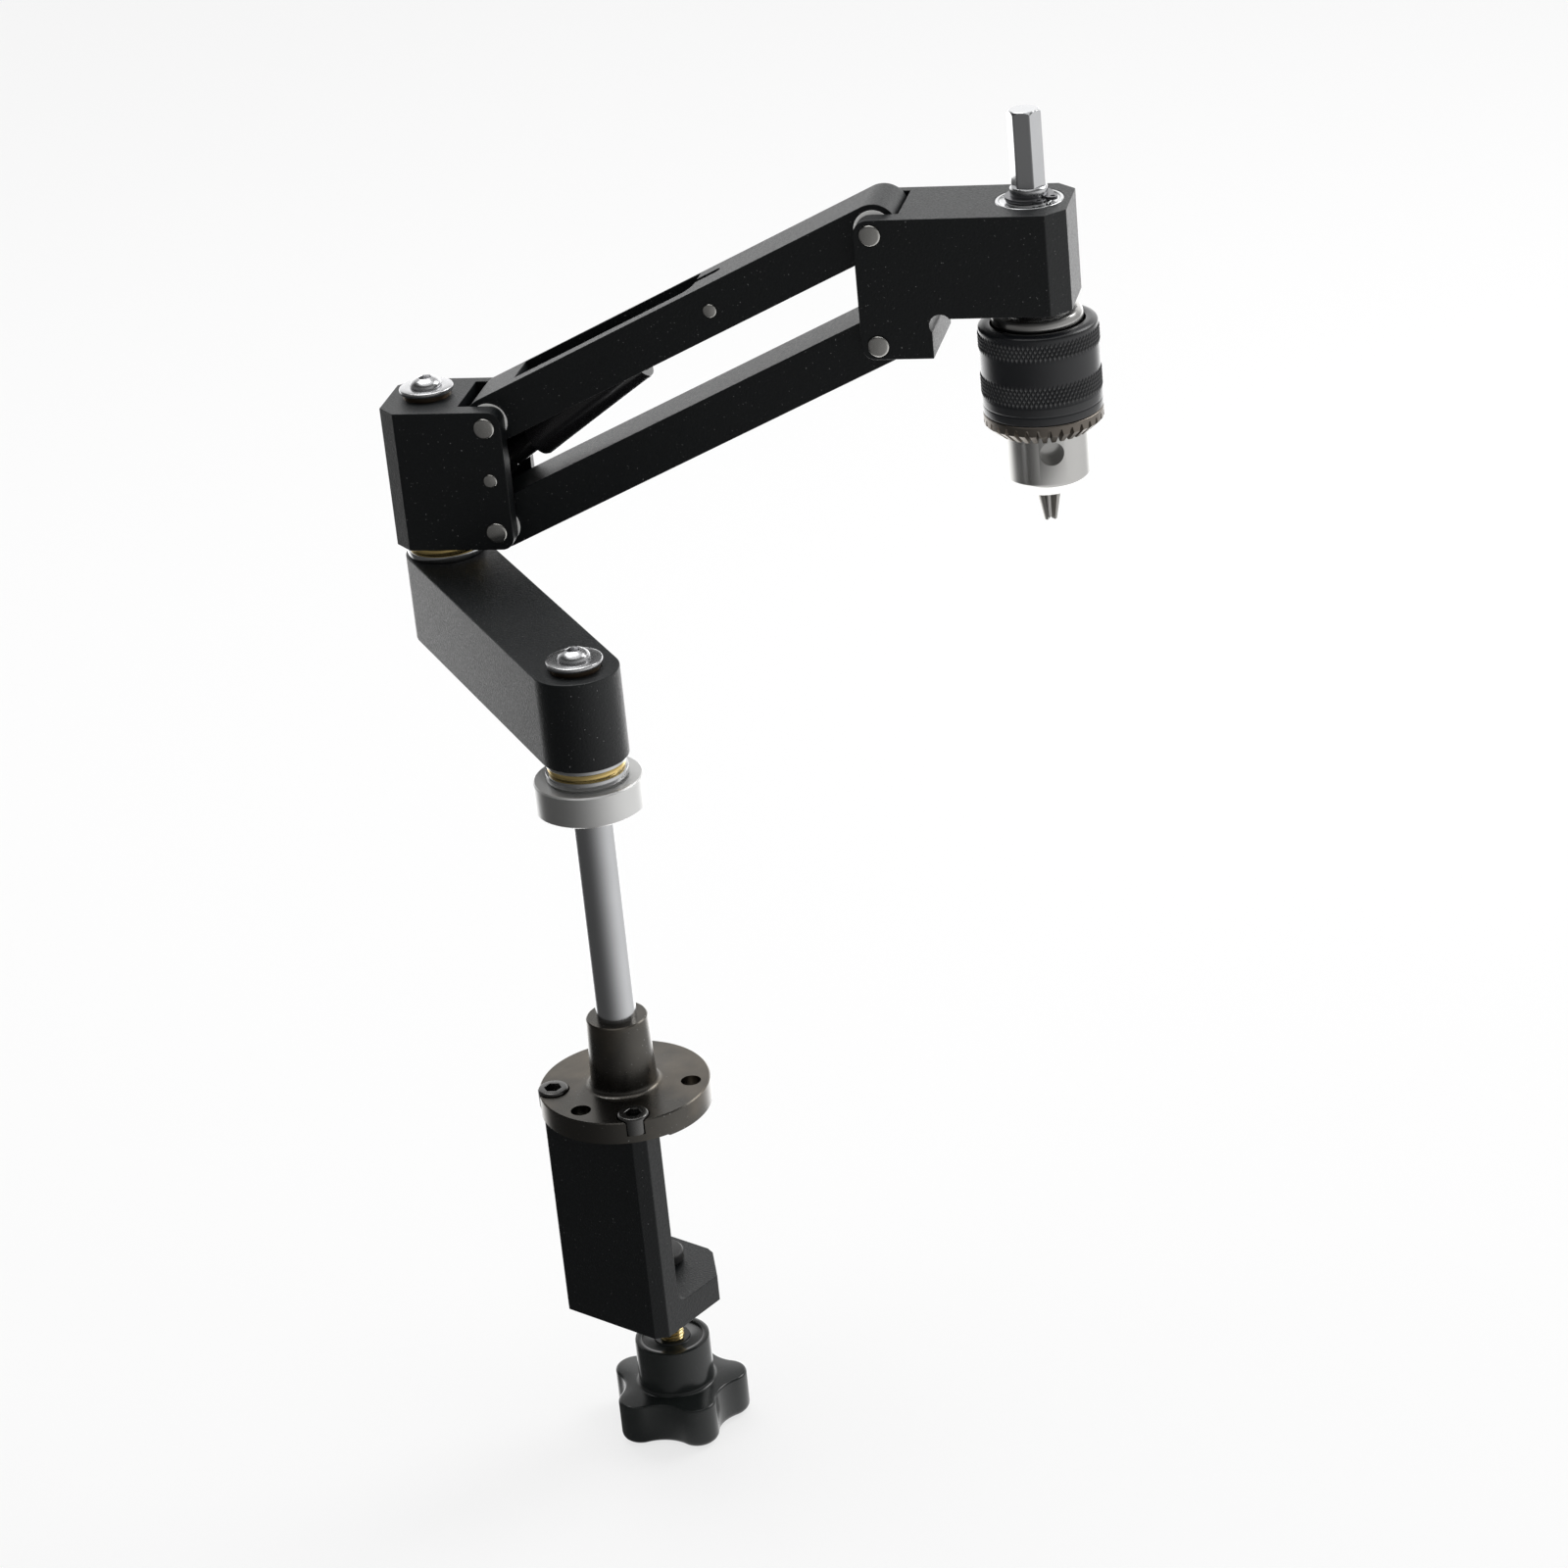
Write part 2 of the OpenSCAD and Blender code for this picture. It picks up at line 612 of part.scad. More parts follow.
// Parallel bars
module bar_blank() {
  lying(bar_w) {
    both_ends() cylinder(r = bar_h / 2, h = bar_w);
    translate([0, -bar_h / 2, 0]) cube([bar_len, bar_h, bar_w]);
  }
}
module bar_bores() { both_ends() cross_hole(bar_bush_d / 2); }
module bar_bushes() { both_ends() lying(bar_w) tube(pin_d / 2 + fit, bar_bush_d / 2 - press, bar_w); }
module upper_bar() {
  slot_low = strut_y - tube_d / 2 - gap;
  slot_high = strut_y + tube_d / 2 + gap;
  slot_back = 13;
  slot_front = 81.5;
  corner = 5;
  rod_slot = 3.5;
  rod_end = 89;
  deep = 20;
  color("#2a2c2e") at_upper() difference() {
    bar_blank();
    bar_bores();
    // wide slot of the tube, one front corner rounded
    translate([slot_back, slot_low, -deep])
      cube([slot_front - slot_back - corner, slot_high - slot_low, 2 * deep]);
    translate([slot_back, slot_low + corner, -deep])
      cube([slot_front - slot_back, slot_high - slot_low - corner, 2 * deep]);
    translate([slot_front - corner, slot_low + corner, -deep]) cylinder(r = corner, h = 2 * deep);
    // narrow slot of the rod's eye
    translate([slot_front - 1, strut_y - rod_slot / 2, -deep])
      cube([rod_end - slot_front + 1, rod_slot, 2 * deep]);
    translate([rod_end, strut_y, -deep]) cylinder(r = rod_slot / 2, h = 2 * deep);
    // sloping relief under the rear eye, where the tube comes up
    translate([0, slot_high, 0]) rotate([90, 0, 0]) linear_extrude(slot_high - slot_low) polygon([
      [-10, -9], [slot_back + 1, -9], [slot_back + 1, -2.2], [2.2, -5.1], [-10, -5.1]]);
    translate([strut_pin_x, 0, 0]) cross_hole(strut_pin_d / 2 + press);
  }
}
module upper_bushes() { color("#a9855a") at_upper() bar_bushes(); }
module front_strut_pin() {
  color("#b4b6b7") at_upper() translate([strut_pin_x, 0, 0])
    domed_pin(strut_pin_d / 2, -bar_w / 2, bar_w / 2, dome_strut);
}
module lower_bar() {
  color("#2a2c2e") at_lower() difference() {
    bar_blank();
    bar_bores();
  }
}
module lower_bushes() { color("#a9855a") at_lower() bar_bushes(); }

// Gas strut
module strut_tube() {
  r = tube_d / 2;
  eye_r = 4.8;
  eye_w = 6;
  neck_r = 4.2;
  bore_r = rod_d / 2 + 1.9;       // wide enough for the rod's tilt away from rest
  color("#2f3133") at_strut() difference() {
    union() {
      lying(eye_w) cylinder(r = eye_r, h = eye_w);
      rotate([0, 90, 0]) cylinder(r = neck_r, h = tube_start + 1.8);
      translate([tube_start, 0, 0]) rotate([0, 90, 0]) rotate_extrude() polygon([
          [0, 0], [r - 1.5, 0], [r - 0.4, 0.4], [r, 1.4],
          [r, tube_len - 0.6], [r - 0.4, tube_len], [0, tube_len]]);
    }
    cross_hole(strut_pin_d / 2 + fit);
    translate([tube_start + 2.8, 0, 0]) rotate([0, 90, 0]) cylinder(r = bore_r, h = through);
  }
}
module strut_rod() {
  eye_r = 4.4;
  eye_w = 3;
  blade = [7, eye_w, 6];
  rod_front = 6;
  rod_len = 54;
  color("#c2c4c5") at_strut() translate([strut_len, 0, 0]) difference() {
    union() {
      lying(eye_w) cylinder(r = eye_r, h = eye_w);
      translate([-blade.x, -blade.y / 2, -blade.z / 2]) cube(blade);
      translate([-rod_front - rod_len, 0, 0]) rotate([0, 90, 0]) cylinder(r = rod_d / 2, h = rod_len);
    }
    cross_hole(strut_pin_d / 2 + fit);
  }
}

// Head
module head_block() {
  body_foot = head_drop - head_h;
  low_foot = head_drop - head_low;
  seat_r = bearing_d / 2;
  color("#2a2c2e") at_head() difference() {
    union() {
      translate([0, 0, body_foot]) linear_extrude(head_h) polygon([
        [-head_back, -near_y], [head_front - block_cut, -near_y], [head_front, -near_y + block_cut],
        [head_front, far_y - block_cut], [head_front - block_cut, far_y], [-head_back, far_y]]);
      translate([-head_back, -near_y, low_foot]) cube([head_back + head_step, near_y + far_y, head_low - 10]);
    }
    // tool relief in the inner corner
    translate([head_step + 2.8, 0, body_foot - 2.1]) cross_hole(3.6);
    // slot of the bars
    translate([-through, -slot_half, -through]) cube([through + eye_room, 2 * slot_half, 2 * through]);
    translate([-head_back, 0, head_drop]) mirror([1, 0, 0]) corner_round(cheek_round + 1);
    translate([-head_back, 0, low_foot]) mirror([1, 0, 0]) mirror([0, 0, 1]) corner_round(cheek_round);
    pair_of_pins() cross_hole(pin_d / 2 + press);
    // bore of the spindle and seats of its bearings
    translate([spindle_x, 0, -through]) cylinder(r = spindle_d / 2 + 3, h = 2 * through);
    translate([spindle_x, 0, head_drop - bearing_w]) cylinder(r = seat_r, h = bearing_w + 3);
    translate([spindle_x, 0, body_foot - 1]) cylinder(r = seat_r, h = bearing_w + 1);
  }
}
module head_pins() {
  color("#b4b6b7") at_head() pair_of_pins() domed_pin(pin_d / 2, -near_y, far_y, dome_pin);
}
module head_spacers() { color("#eeeeea") at_head() pair_of_pins() spacers(); }
module head_bearings() {
  color("#b9bbbc") at_spindle() {
    translate([0, 0, -bearing_w]) bearing();
    translate([0, 0, -head_h]) bearing();
  }
}

// Shielded ball bearing: two rings with the shields sunk between them
module bearing() {
  inner = spindle_d / 2 + fit;
  outer = bearing_d / 2;
  shield_in = inner + 1.96;
  shield_out = outer - 1.4;
  sink = 0.3;
  w = bearing_w;
  rotate_extrude() polygon([
    [inner, 0], [shield_in, 0], [shield_in, sink], [shield_out, sink], [shield_out, 0],
    [outer - sink, 0], [outer, sink], [outer, w - sink], [outer - sink, w],
    [shield_out, w], [shield_out, w - sink], [shield_in, w - sink], [shield_in, w], [inner, w]]);
}

// Spindle and chuck, which turn
module spindle() {
  r = spindle_d / 2;
  shoulder_z = 4.1;
  shoulder_edge = 0.4;
  lower_r = 8;                    // shoulder under the lower bearing
  thread_r = 4.76;                // what the chuck is screwed on
  thread_len = 19;
  groove_t = 1.1;
  hex_z = 4;
  hex_h = hex_top - hex_z;
  hex_edge = 1.4;
  color("#c4c6c7") at_spindle() difference() {
    union() {
      translate([0, 0, -head_h - 1]) cylinder(r = r, h = head_h + 1 + shoulder_z);
      translate([0, 0, shoulder_z]) cylinder(r1 = r, r2 = r - shoulder_edge, h = shoulder_edge);
      intersection() {
        rotate([0, 0, hex_heading - arm_heading]) translate([0, 0, hex_z]) hex_prism(hex_af, hex_h);
        translate([0, 0, hex_z]) rotate_extrude()
          polygon([[0, 0], [r, 0], [r, hex_h - hex_edge], [hex_af / 2 - 0.2, hex_h], [0, hex_h]]);
      }
      translate([0, 0, -chuck_top]) cylinder(r = lower_r, h = chuck_top - head_h - gap);
      translate([0, 0, -head_h - thread_len]) cylinder(r = thread_r, h = thread_len);
    }
    // groove of the retaining ring
    translate([0, 0, 0.5]) tube(r - 0.5, r + 2, groove_t);
  }
}
module retaining_ring() {
  thick = 1;
  outer_r = 7.8;
  lug_turn = 22;
  gap_turn = -40;
  color("#8c8e90") at_spindle() translate([0, 0, 0.55]) difference() {
    union() {
      cylinder(r = outer_r, h = thick);
      for (a = [-lug_turn, lug_turn])
        rotate([0, 0, a + gap_turn]) translate([outer_r + 0.2, 0, 0]) cylinder(r = 1.7, h = thick);
    }
    translate([0, 0, -1]) cylinder(r = spindle_d / 2 - 0.5 + press, h = thick + 2);
    rotate([0, 0, gap_turn]) translate([0, -1.1, -1]) cube([12, 2.2, thick + 2]);
    for (a = [-lug_turn, lug_turn])
      rotate([0, 0, a + gap_turn]) translate([outer_r + 0.4, 0, -1]) cylinder(r = 0.8, h = thick + 2);
  }
}
module chuck_body() {
  r = chuck_d / 2;
  top = -chuck_top;
  foot = -chuck_bottom;
  bore_r = 6.6;
  color("#c9cac9") at_spindle() difference() {
    rotate_extrude() polygon([
        [0, top], [r - 2.1, top], [r - 0.7, top - 0.5], [r, top - 1.4],
        [r + 0.2, top - 2.6], [r + 0.2, top - 3.8],
      [r, top - 4.2], [r, foot + 6], [r - 0.6, foot + 4.8], [r - 1.8, foot + 3.9], [9.2, foot + 0.9],
      [8.2, foot], [0, foot]]);
    translate([0, 0, -53]) cylinder(r = 4.77, h = 20);
    translate([0, 0, foot - 3.5]) rotate([0, 0, 40]) cylinder(r = bore_r, h = 40);
    for (k = [0:2])
      turned_to_key(k) translate([8.6, 0, -key_z]) rotate([0, 90, 0]) cylinder(r = key_d / 2, h = 10);
    for (k = [0:2])
      turned_to_key(k + 0.5) jaw_axis() rotate([0, 0, 25]) cylinder(r = jaw_d / 2 + 0.05, h = 45.6);
  }
}
module chuck_sleeve() {
  r = sleeve_d / 2;
  top = -sleeve_top;
  foot = -sleeve_bottom;
  mouth_r = chuck_d / 2 + 0.7;
  shell_r = r - 2.2;
  skirt_r = r - 3.3;
  color("#1f2122") at_spindle() rotate_extrude() polygon([
    [mouth_r, top - 1.5], [mouth_r, top - 0.3], [mouth_r + 0.5, top], [shell_r, top], [r - 0.9, top - 0.5],

      [r - 0.2, top - 1.2], [r, top - 2], [r, -knurl_end],
      [r - 0.3, -knurl_end - 0.2], [r - 0.3, -knurl_start + 0.2],
    [r, -knurl_start], [r, -knurl_low], [r - 0.25, -knurl_low - 0.2], [r - 0.25, foot + 0.4], [r - 0.6, foot],
    [skirt_r, foot], [skirt_r, foot + 2.3], [shell_r, foot + 3.3], [shell_r, top - 3.5]]);
}
module chuck_gear() {
  r = sleeve_d / 2 - 0.2;
  inner = chuck_d / 2 + 0.05;
  neck_r = sleeve_d / 2 - 3.3 - press;
  top = -sleeve_bottom - press;
  foot = -gear_bottom;
  tooth_gap = [[-1, -1.15], [1.5, -0.3], [1.5, 0.3], [-1, 1.15]];
  color("#6b645c") at_spindle() difference() {
    rotate_extrude() polygon([
      [inner, -gear_top], [neck_r, -gear_top], [neck_r, top], [r - 0.3, top], [r, top - 0.29],
      [r, foot + 3.6], [r - 4.1, foot], [inner, foot]]);
    for (k = [1:gear_teeth]) rotate([0, 0, 360 / gear_teeth * k])
      translate([r + 1.12, 0, foot + 4.6]) rotate([0, -131.3, 0]) linear_extrude(9) polygon(tooth_gap);
  }
}
module jaw(k) {
  wide = 30;
  below = 6;                      // the round bar is cut off this far under the tips
  long = 32;
  tip_r = 2.15;
  flare = 0.2;                    // growth of the tapered outside with height
  inside = 0.2;                   // each jaw's two inner faces meet this far from the axis
  at_spindle() turned_to_key(k + 0.5) intersection() {
    jaw_axis() translate([0, 0, -below]) cylinder(r = jaw_d / 2, h = long);
    translate([inside, 0, -tip_drop]) rotate([0, 0, -60]) cube([wide, wide, through]);
    translate([inside, 0, -tip_drop]) rotate([0, 0, -30]) cube([wide, wide, through]);
    // tapered outside of the closed jaws
    translate([0, 0, -tip_drop]) cylinder(r1 = tip_r, r2 = tip_r + flare * through, h = through);
  }
}
module jaw_a() { color("#b4b5b4") jaw(0); }
module jaw_b() { color("#b4b5b4") jaw(1); }
module jaw_c() { color("#b4b5b4") jaw(2); }

clamp_bracket();
base_flange();
flange_screws();
column();
column_collar();
column_race();
column_cage();
column_washer();
column_bolt();
pressure_pad();
clamp_screw();
star_knob();
swing_link();
swing_race();
swing_bushes();
elbow_pivot();
elbow_race();
elbow_cage();
elbow_washer();
elbow_bolt();
elbow_block();
block_race();
elbow_bushes();
rear_pins();
rear_strut_pin();
rear_spacers();
upper_bar();
upper_bushes();
front_strut_pin();
lower_bar();
lower_bushes();
strut_tube();
strut_rod();
head_block();
head_pins();
head_spacers();
head_bearings();
spindle();
retaining_ring();
chuck_body();
chuck_sleeve();
chuck_gear();
jaw_a();
jaw_b();
jaw_c();
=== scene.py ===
"""Looks of the bench-clamped tapping arm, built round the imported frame.

The machined blocks, the flange, collar, gas spring and retaining ring and most of the chuck are merged
copies of the frame's solids with their edges broken. The bushes and the elbow's pivot keep their solids.
Everything else is a surface worked out with numpy from the sizes below. Lengths in the classes are
millimetres. Meshes are stored in metres, in place, on objects that stay at the origin.
"""

from __future__ import annotations

import json
import logging
import math
from dataclasses import dataclass
from enum import Enum
from typing import Sequence

import bmesh
import bpy
import numpy as np
from mathutils import Matrix, Vector

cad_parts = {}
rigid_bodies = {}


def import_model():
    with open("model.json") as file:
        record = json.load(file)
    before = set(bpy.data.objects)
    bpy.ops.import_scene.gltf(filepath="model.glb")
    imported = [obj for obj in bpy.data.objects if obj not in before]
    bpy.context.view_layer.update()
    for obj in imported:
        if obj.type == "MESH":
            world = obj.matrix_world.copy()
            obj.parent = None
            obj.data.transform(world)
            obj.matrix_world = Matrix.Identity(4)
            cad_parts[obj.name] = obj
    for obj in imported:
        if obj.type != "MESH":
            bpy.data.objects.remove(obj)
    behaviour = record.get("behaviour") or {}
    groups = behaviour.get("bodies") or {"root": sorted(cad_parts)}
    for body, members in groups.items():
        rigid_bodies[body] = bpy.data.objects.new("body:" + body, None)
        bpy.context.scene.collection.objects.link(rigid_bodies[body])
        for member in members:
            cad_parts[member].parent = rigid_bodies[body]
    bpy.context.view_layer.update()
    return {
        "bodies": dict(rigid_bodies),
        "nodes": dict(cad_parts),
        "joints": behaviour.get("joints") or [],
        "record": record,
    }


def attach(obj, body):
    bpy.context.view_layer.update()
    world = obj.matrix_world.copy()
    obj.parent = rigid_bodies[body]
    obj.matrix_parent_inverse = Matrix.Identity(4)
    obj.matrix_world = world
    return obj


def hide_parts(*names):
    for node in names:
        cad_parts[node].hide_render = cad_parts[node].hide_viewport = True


LOG = logging.getLogger("tapping_arm")
MM = 0.001
TAU = 2.0 * math.pi
Vec3 = tuple[float, float, float]
Pair = tuple[float, float]
Profile = Sequence[Pair]
Socket = bpy.types.NodeSocket
Tree = bpy.types.NodeTree
ORIGIN: Vec3 = (0.0, 0.0, 0.0)


# Places


@dataclass(frozen=True)
class Place:
    """A sub-assembly's own axes at rest: origin in metres, heading and climb in degrees."""

    origin: Vec3 = ORIGIN
    heading: float = 0.0
    climb: float = 0.0

    def world(self, points: np.ndarray) -> np.ndarray:
        """Carry points to the frame.

        The local x axis points along the heading and climbs, y lies level to its left, and z completes
        the set.

        Args:
            points: local points in millimetres, shape (n, 3).

        Returns:
            The same points in metres in the frame.
        """
        h, c = math.radians(self.heading), math.radians(self.climb)
        axes = np.array(
            [
                [math.cos(h) * math.cos(c), math.sin(h) * math.cos(c), math.sin(c)],
                [-math.sin(h), math.cos(h), 0.0],
                [-math.cos(h) * math.sin(c), -math.sin(h) * math.sin(c), math.cos(c)],
            ]
        )
        return points @ axes * MM + np.array(self.origin)

    def shifted(self, x: float, y: float, z: float) -> "Place":
        """The same axes, with the origin moved by a local step in millimetres."""
        return Place(tuple(self.world(np.array([[x, y, z]]))[0].tolist()), self.heading, self.climb)


# Surfaces


@dataclass
class Surface:
    """Points and faces of one closed skin, in millimetres."""

    points: np.ndarray
    faces: list[np.ndarray]

    def lying(self) -> "Surface":
        """The skin with its upright axis laid along +y."""
        x, y, z = self.points.T
        return Surface(np.stack([x, z, -y], axis=1), self.faces)

    def moved(self, x: float, y: float, z: float) -> "Surface":
        """The skin moved by a step."""
        return Surface(self.points + np.array([x, y, z]), self.faces)


def joined(parts: Sequence[Surface]) -> Surface:
    """Put several skins in one, with point numbers that run on from skin to skin.

    Args:
        parts: the skins.

    Returns:
        One surface that holds them all.
    """
    starts = np.cumsum([0] + [len(p.points) for p in parts[:-1]])
    faces = [f + int(s) for p, s in zip(parts, starts) for f in p.faces]
    return Surface(np.concatenate([p.points for p in parts]), faces)


def skin(grid: np.ndarray, closed: bool = False) -> Surface:
    """Quads over a grid of points whose columns wrap.

    Face (i, j) joins points (i, j), (i, j+1), (i+1, j+1) and (i+1, j), counted round where the grid wraps.

    Args:
        grid: points, shape (rows, columns, 3).
        closed: the rows wrap too.

    Returns:
        The surface.
    """
    rows, cols = grid.shape[:2]
    a, b = np.meshgrid(np.arange(rows if closed else rows - 1), np.arange(cols), indexing="ij")
    a2, b2 = (a + 1) % rows, (b + 1) % cols
    quads = np.stack([a * cols + b, a * cols + b2, a2 * cols + b2, a2 * cols + b], axis=-1)
    return Surface(grid.reshape(-1, 3), [quads.reshape(-1, 4)])


def ring_angles(steps: int) -> np.ndarray:
    """Equal angles round a circle, the first at zero."""
    return np.arange(steps) * TAU / steps


def rings(radius: np.ndarray, height: np.ndarray, closed: bool = False) -> Surface:
    """Rings of points about z, each point at its own radius and height.

    x = radius cos(angle), y = radius sin(angle), z = height, with the angle going once round along the
    columns.

    Args:
        radius: shape (rows, columns).
        height: shape (rows, columns) or (rows, 1).
        closed: the last ring joins the first.

    Returns:
        The surface.
    """
    angle = ring_angles(radius.shape[1])[None, :]
    radius, height = np.broadcast_arrays(radius, height)
    return skin(np.stack([radius * np.cos(angle), radius * np.sin(angle), height], axis=-1), closed)


def lathe(profile: np.ndarray, steps: int, closed: bool = False) -> Surface:
    """A profile of (radius, height) rows carried once round z, as it is."""
    return rings(np.repeat(profile[:, :1], steps, axis=1), profile[:, 1:], closed)


def eased(profile: Profile, ease: float, closed: bool = False) -> np.ndarray:
    """Round the corners of a profile.

    Each corner gives way to three points of a parabola: one cut back along each side by the ease, or by
    0.4 of the side where that is shorter, and the middle one at (first + 2 corner + last) / 4.

    Args:
        profile: (radius, height) pairs.
        ease: how far a corner is cut back.
        closed: the profile is a loop, so its ends are corners too.

    Returns:
        The rounded profile, shape (n, 2).
    """
    p = np.asarray(profile, float)
    ends = []
    for step in (1, -1):
        side = np.roll(p, step, axis=0) - p
        length = np.linalg.norm(side, axis=1, keepdims=True)
        ends.append(p + side / np.maximum(length, 1e-9) * np.minimum(ease, 0.4 * length))
    first, last = ends
    soft = np.stack([first, (first + 2 * p + last) / 4, last], axis=1)
    if closed:
        return soft.reshape(-1, 2)
    return np.concatenate([p[:1], soft[1:-1].reshape(-1, 2), p[-1:]])


def turned(profile: Profile, ease: float = 0.15, steps: int = 120, closed: bool = False) -> Surface:
    """A profile carried once round z, with its corners eased.

    Args:
        profile: (radius, height) pairs, from the axis to the axis, or a loop.
        ease: corner cut.
        steps: points round.
        closed: the profile is a loop.

    Returns:
        The turned skin.
    """
    return lathe(eased(profile, ease, closed), steps, closed)


def hexagon(flats: float, steps: int) -> np.ndarray:
    """Radius of a hexagon at each of the ring angles.

    Half the width across the flats over the cosine of the angle from the nearest flat's middle.

    Args:
        flats: width across the flats.
        steps: points round, a multiple of six.

    Returns:
        Radii, shape (steps,), with a corner at angle zero.
    """
    sixth = TAU / 6
    return flats / 2 / np.cos((ring_angles(steps) % sixth) - sixth / 2)


def socket_head(outside: Profile, flats: float, floor: float, top: float) -> Surface:
    """A turned screw with a hexagon socket in its top.

    The rows run from the bottom of the drill's cone up the socket's six walls, over the rim and down the
    outside to the tip.

    Args:
        outside: (radius, height) pairs from the rim of the head's top to the axis at the tip.
        flats: socket width across the flats.
        floor: height of the socket's floor.
        top: height of the socket's mouth.

    Returns:
        The screw's skin.
    """
    steps, cone, fillet, edge = 96, 0.7, 0.1, 0.12
    six = hexagon(flats, steps)
    inner = np.stack([six * 0.0, six * 0.55, six * 0.97, six, six, six + edge])
    heights = np.array([floor - cone, floor - cone / 2, floor, floor + fillet, top - edge, top])
    shell = eased(outside, 0.18)
    radius = np.concatenate([inner, np.repeat(shell[:, :1], steps, axis=1)])
    return rings(radius, np.concatenate([heights, shell[:, 1]])[:, None])


def threaded(radius: float, depth: float, pitch: float, low: float, high: float) -> Surface:
    """A screw thread.

    The radius falls from the crest by the depth times a triangle wave of (height / pitch - angle / full
    turn), clipped at the crest and the root, and fades to the root at both ends.

    Args:
        radius: crest radius.
        depth: thread depth.
        pitch: rise per turn.
        low: height of the lower end.
        high: height of the upper end.

    Returns:
        The thread's skin, closed at both ends.
    """
    steps, rows_a_turn, steep = 48, 8, 1.25
    rows = int((high - low) / pitch * rows_a_turn) + 1
    z = np.linspace(low, high, rows)[:, None]
    phase = (z / pitch - ring_angles(steps)[None, :] / TAU) % 1.0
    wave = np.clip(np.abs(phase - 0.5) * 2 * steep - (steep - 1) / 2, 0, 1)
    fade = np.clip(np.minimum(z - low, high - z) / pitch, 0, 1)
    r = radius - depth * (1 - (1 - wave) * fade)
    r = np.concatenate([r[:1] * 0, r, r[-1:] * 0])
    z = np.concatenate([z[:1], z, z[-1:]])
    return rings(r, z)


def knurl(radius: float, depth: float, rim: float, ends: Pair, cols: int, rows: int) -> Surface:
    """A band of pointed diamonds, as triangles.

    Points with an even sum of row and column number are the peaks, and the others lie the knurl's depth
    lower. Each four points are split along the line that joins the two low ones, so that the short
    diagonals fold into the two crossing sets of grooves.

    Args:
        radius: radius over the peaks.
        depth: depth of the grooves.
        rim: radius of the band's two edges.
        ends: heights of the upper and the lower edge.
        cols: points round the band, two for each diamond.
        rows: rows of points from edge to edge.

    Returns:
        The surface.
    """
    i, j = np.meshgrid(np.arange(rows), np.arange(cols), indexing="ij")
    r = np.where((i == 0) | (i == rows - 1), rim, radius - depth * ((i + j) % 2))
    z = ends[0] + (ends[1] - ends[0]) * i / (rows - 1)
    points = rings(r, z).points
    i, j = i[:-1], j[:-1]
    k = (j + 1) % cols
    a, b, c, d = i * cols + j, i * cols + k, (i + 1) * cols + k, (i + 1) * cols + j
    even = ((i + j) % 2 == 0)[..., None]
    one = np.where(even, np.stack([a, b, d], -1), np.stack([a, b, c], -1))
    two = np.where(even, np.stack([b, c, d], -1), np.stack([a, c, d], -1))
    return Surface(points, [one.reshape(-1, 3), two.reshape(-1, 3)])


def washer(inner: float, outer: float, low: float, high: float, ease: float = 0.25) -> Surface:
    """A flat ring with eased corners, from its four corner points."""
    return turned([(inner, low), (outer, low), (outer, high), (inner, high)], ease, closed=True)


def thrust_race(inner: float, outer: float, low: float, high: float) -> Surface:
    """A ground thrust ring with small eased corners."""
    return washer(inner, outer, low, high, 0.22)


def pin(radius: float, ends: Pair, proud: float) -> Surface:
    """A pin along +y whose ends stand proud, slightly crowned, with generously rounded rims.

    The rim is a quarter of an ellipse, as wide as 0.26 of the radius, and the end inside it falls from
    its middle by 0.15 mm times the square of the share of the way out.

    Args:
        radius: pin radius.
        ends: y of the lower and the upper cheek face.
        proud: how far an end stands out.

    Returns:
        The pin's skin.
    """
    low, high = ends
    t = np.linspace(0, TAU / 4, 7)
    out = np.array([0.0, 0.35, 0.7])
    rim, crown = 0.26 * radius, 0.15
    r = np.concatenate([(radius - rim) * out, radius - rim + rim * np.sin(t)])
    h = high + np.concatenate([proud - crown * out**2, (proud - crown) * np.cos(t)])
    p = np.concatenate([np.stack([r, h], axis=1), np.stack([r, low + high - h], axis=1)[::-1]])
    return lathe(p, 72).lying()


# Finishes


def node(tree: Tree, kind: str, feeds: dict, output: int | str = 0, **options: str) -> Socket:
    """Add a node, set its options and feed its inputs.

    Args:
        tree: the node tree.
        kind: the node's type without the word ShaderNode.
        feeds: for each input, its value or the socket that it takes it from.
        output: which output is wanted.
        options: the node's own choices, such as its operation.

    Returns:
        That output.
    """
    made = tree.nodes.new("ShaderNode" + kind)
    for option, choice in options.items():
        setattr(made, option, choice)
    for key, given in feeds.items():
        if isinstance(given, Socket):
            tree.links.new(given, made.inputs[key])
        else:
            made.inputs[key].default_value = given
    return made.outputs[output]


def noise(tree: Tree, where: Socket, cells: float, detail: float) -> Socket:
    """A noise of that many cells a metre."""
    return node(tree, "TexNoise", {"Vector": where, "Scale": cells, "Detail": detail}, "Fac")


def ramp(tree: Tree, value: Socket, before: Pair = (0.0, 1.0), after: Pair = (0.0, 1.0)) -> Socket:
    """Carry a value from one range to another, held at both ends.

    Args:
        tree: the node tree.
        value: what is carried.
        before: the range that it comes from.
        after: the range that it goes to.

    Returns:
        The value in its new range.
    """
    feeds = {"Value": value}
    for key, (low, high) in (("From", before), ("To", after)):
        feeds |= {key + " Min": low, key + " Max": high}
    return node(tree, "MapRange", feeds, "Result")


def blend(tree: Tree, colour: Socket | Vec3, amount: Socket, other: Vec3) -> Socket:
    """A colour that goes over to another by the amount."""
    first = (*colour, 1.0) if isinstance(colour, tuple) else colour
    return node(tree, "Mix", {"A": first, "B": (*other, 1.0), "Factor": amount}, "Result", data_type="RGBA")


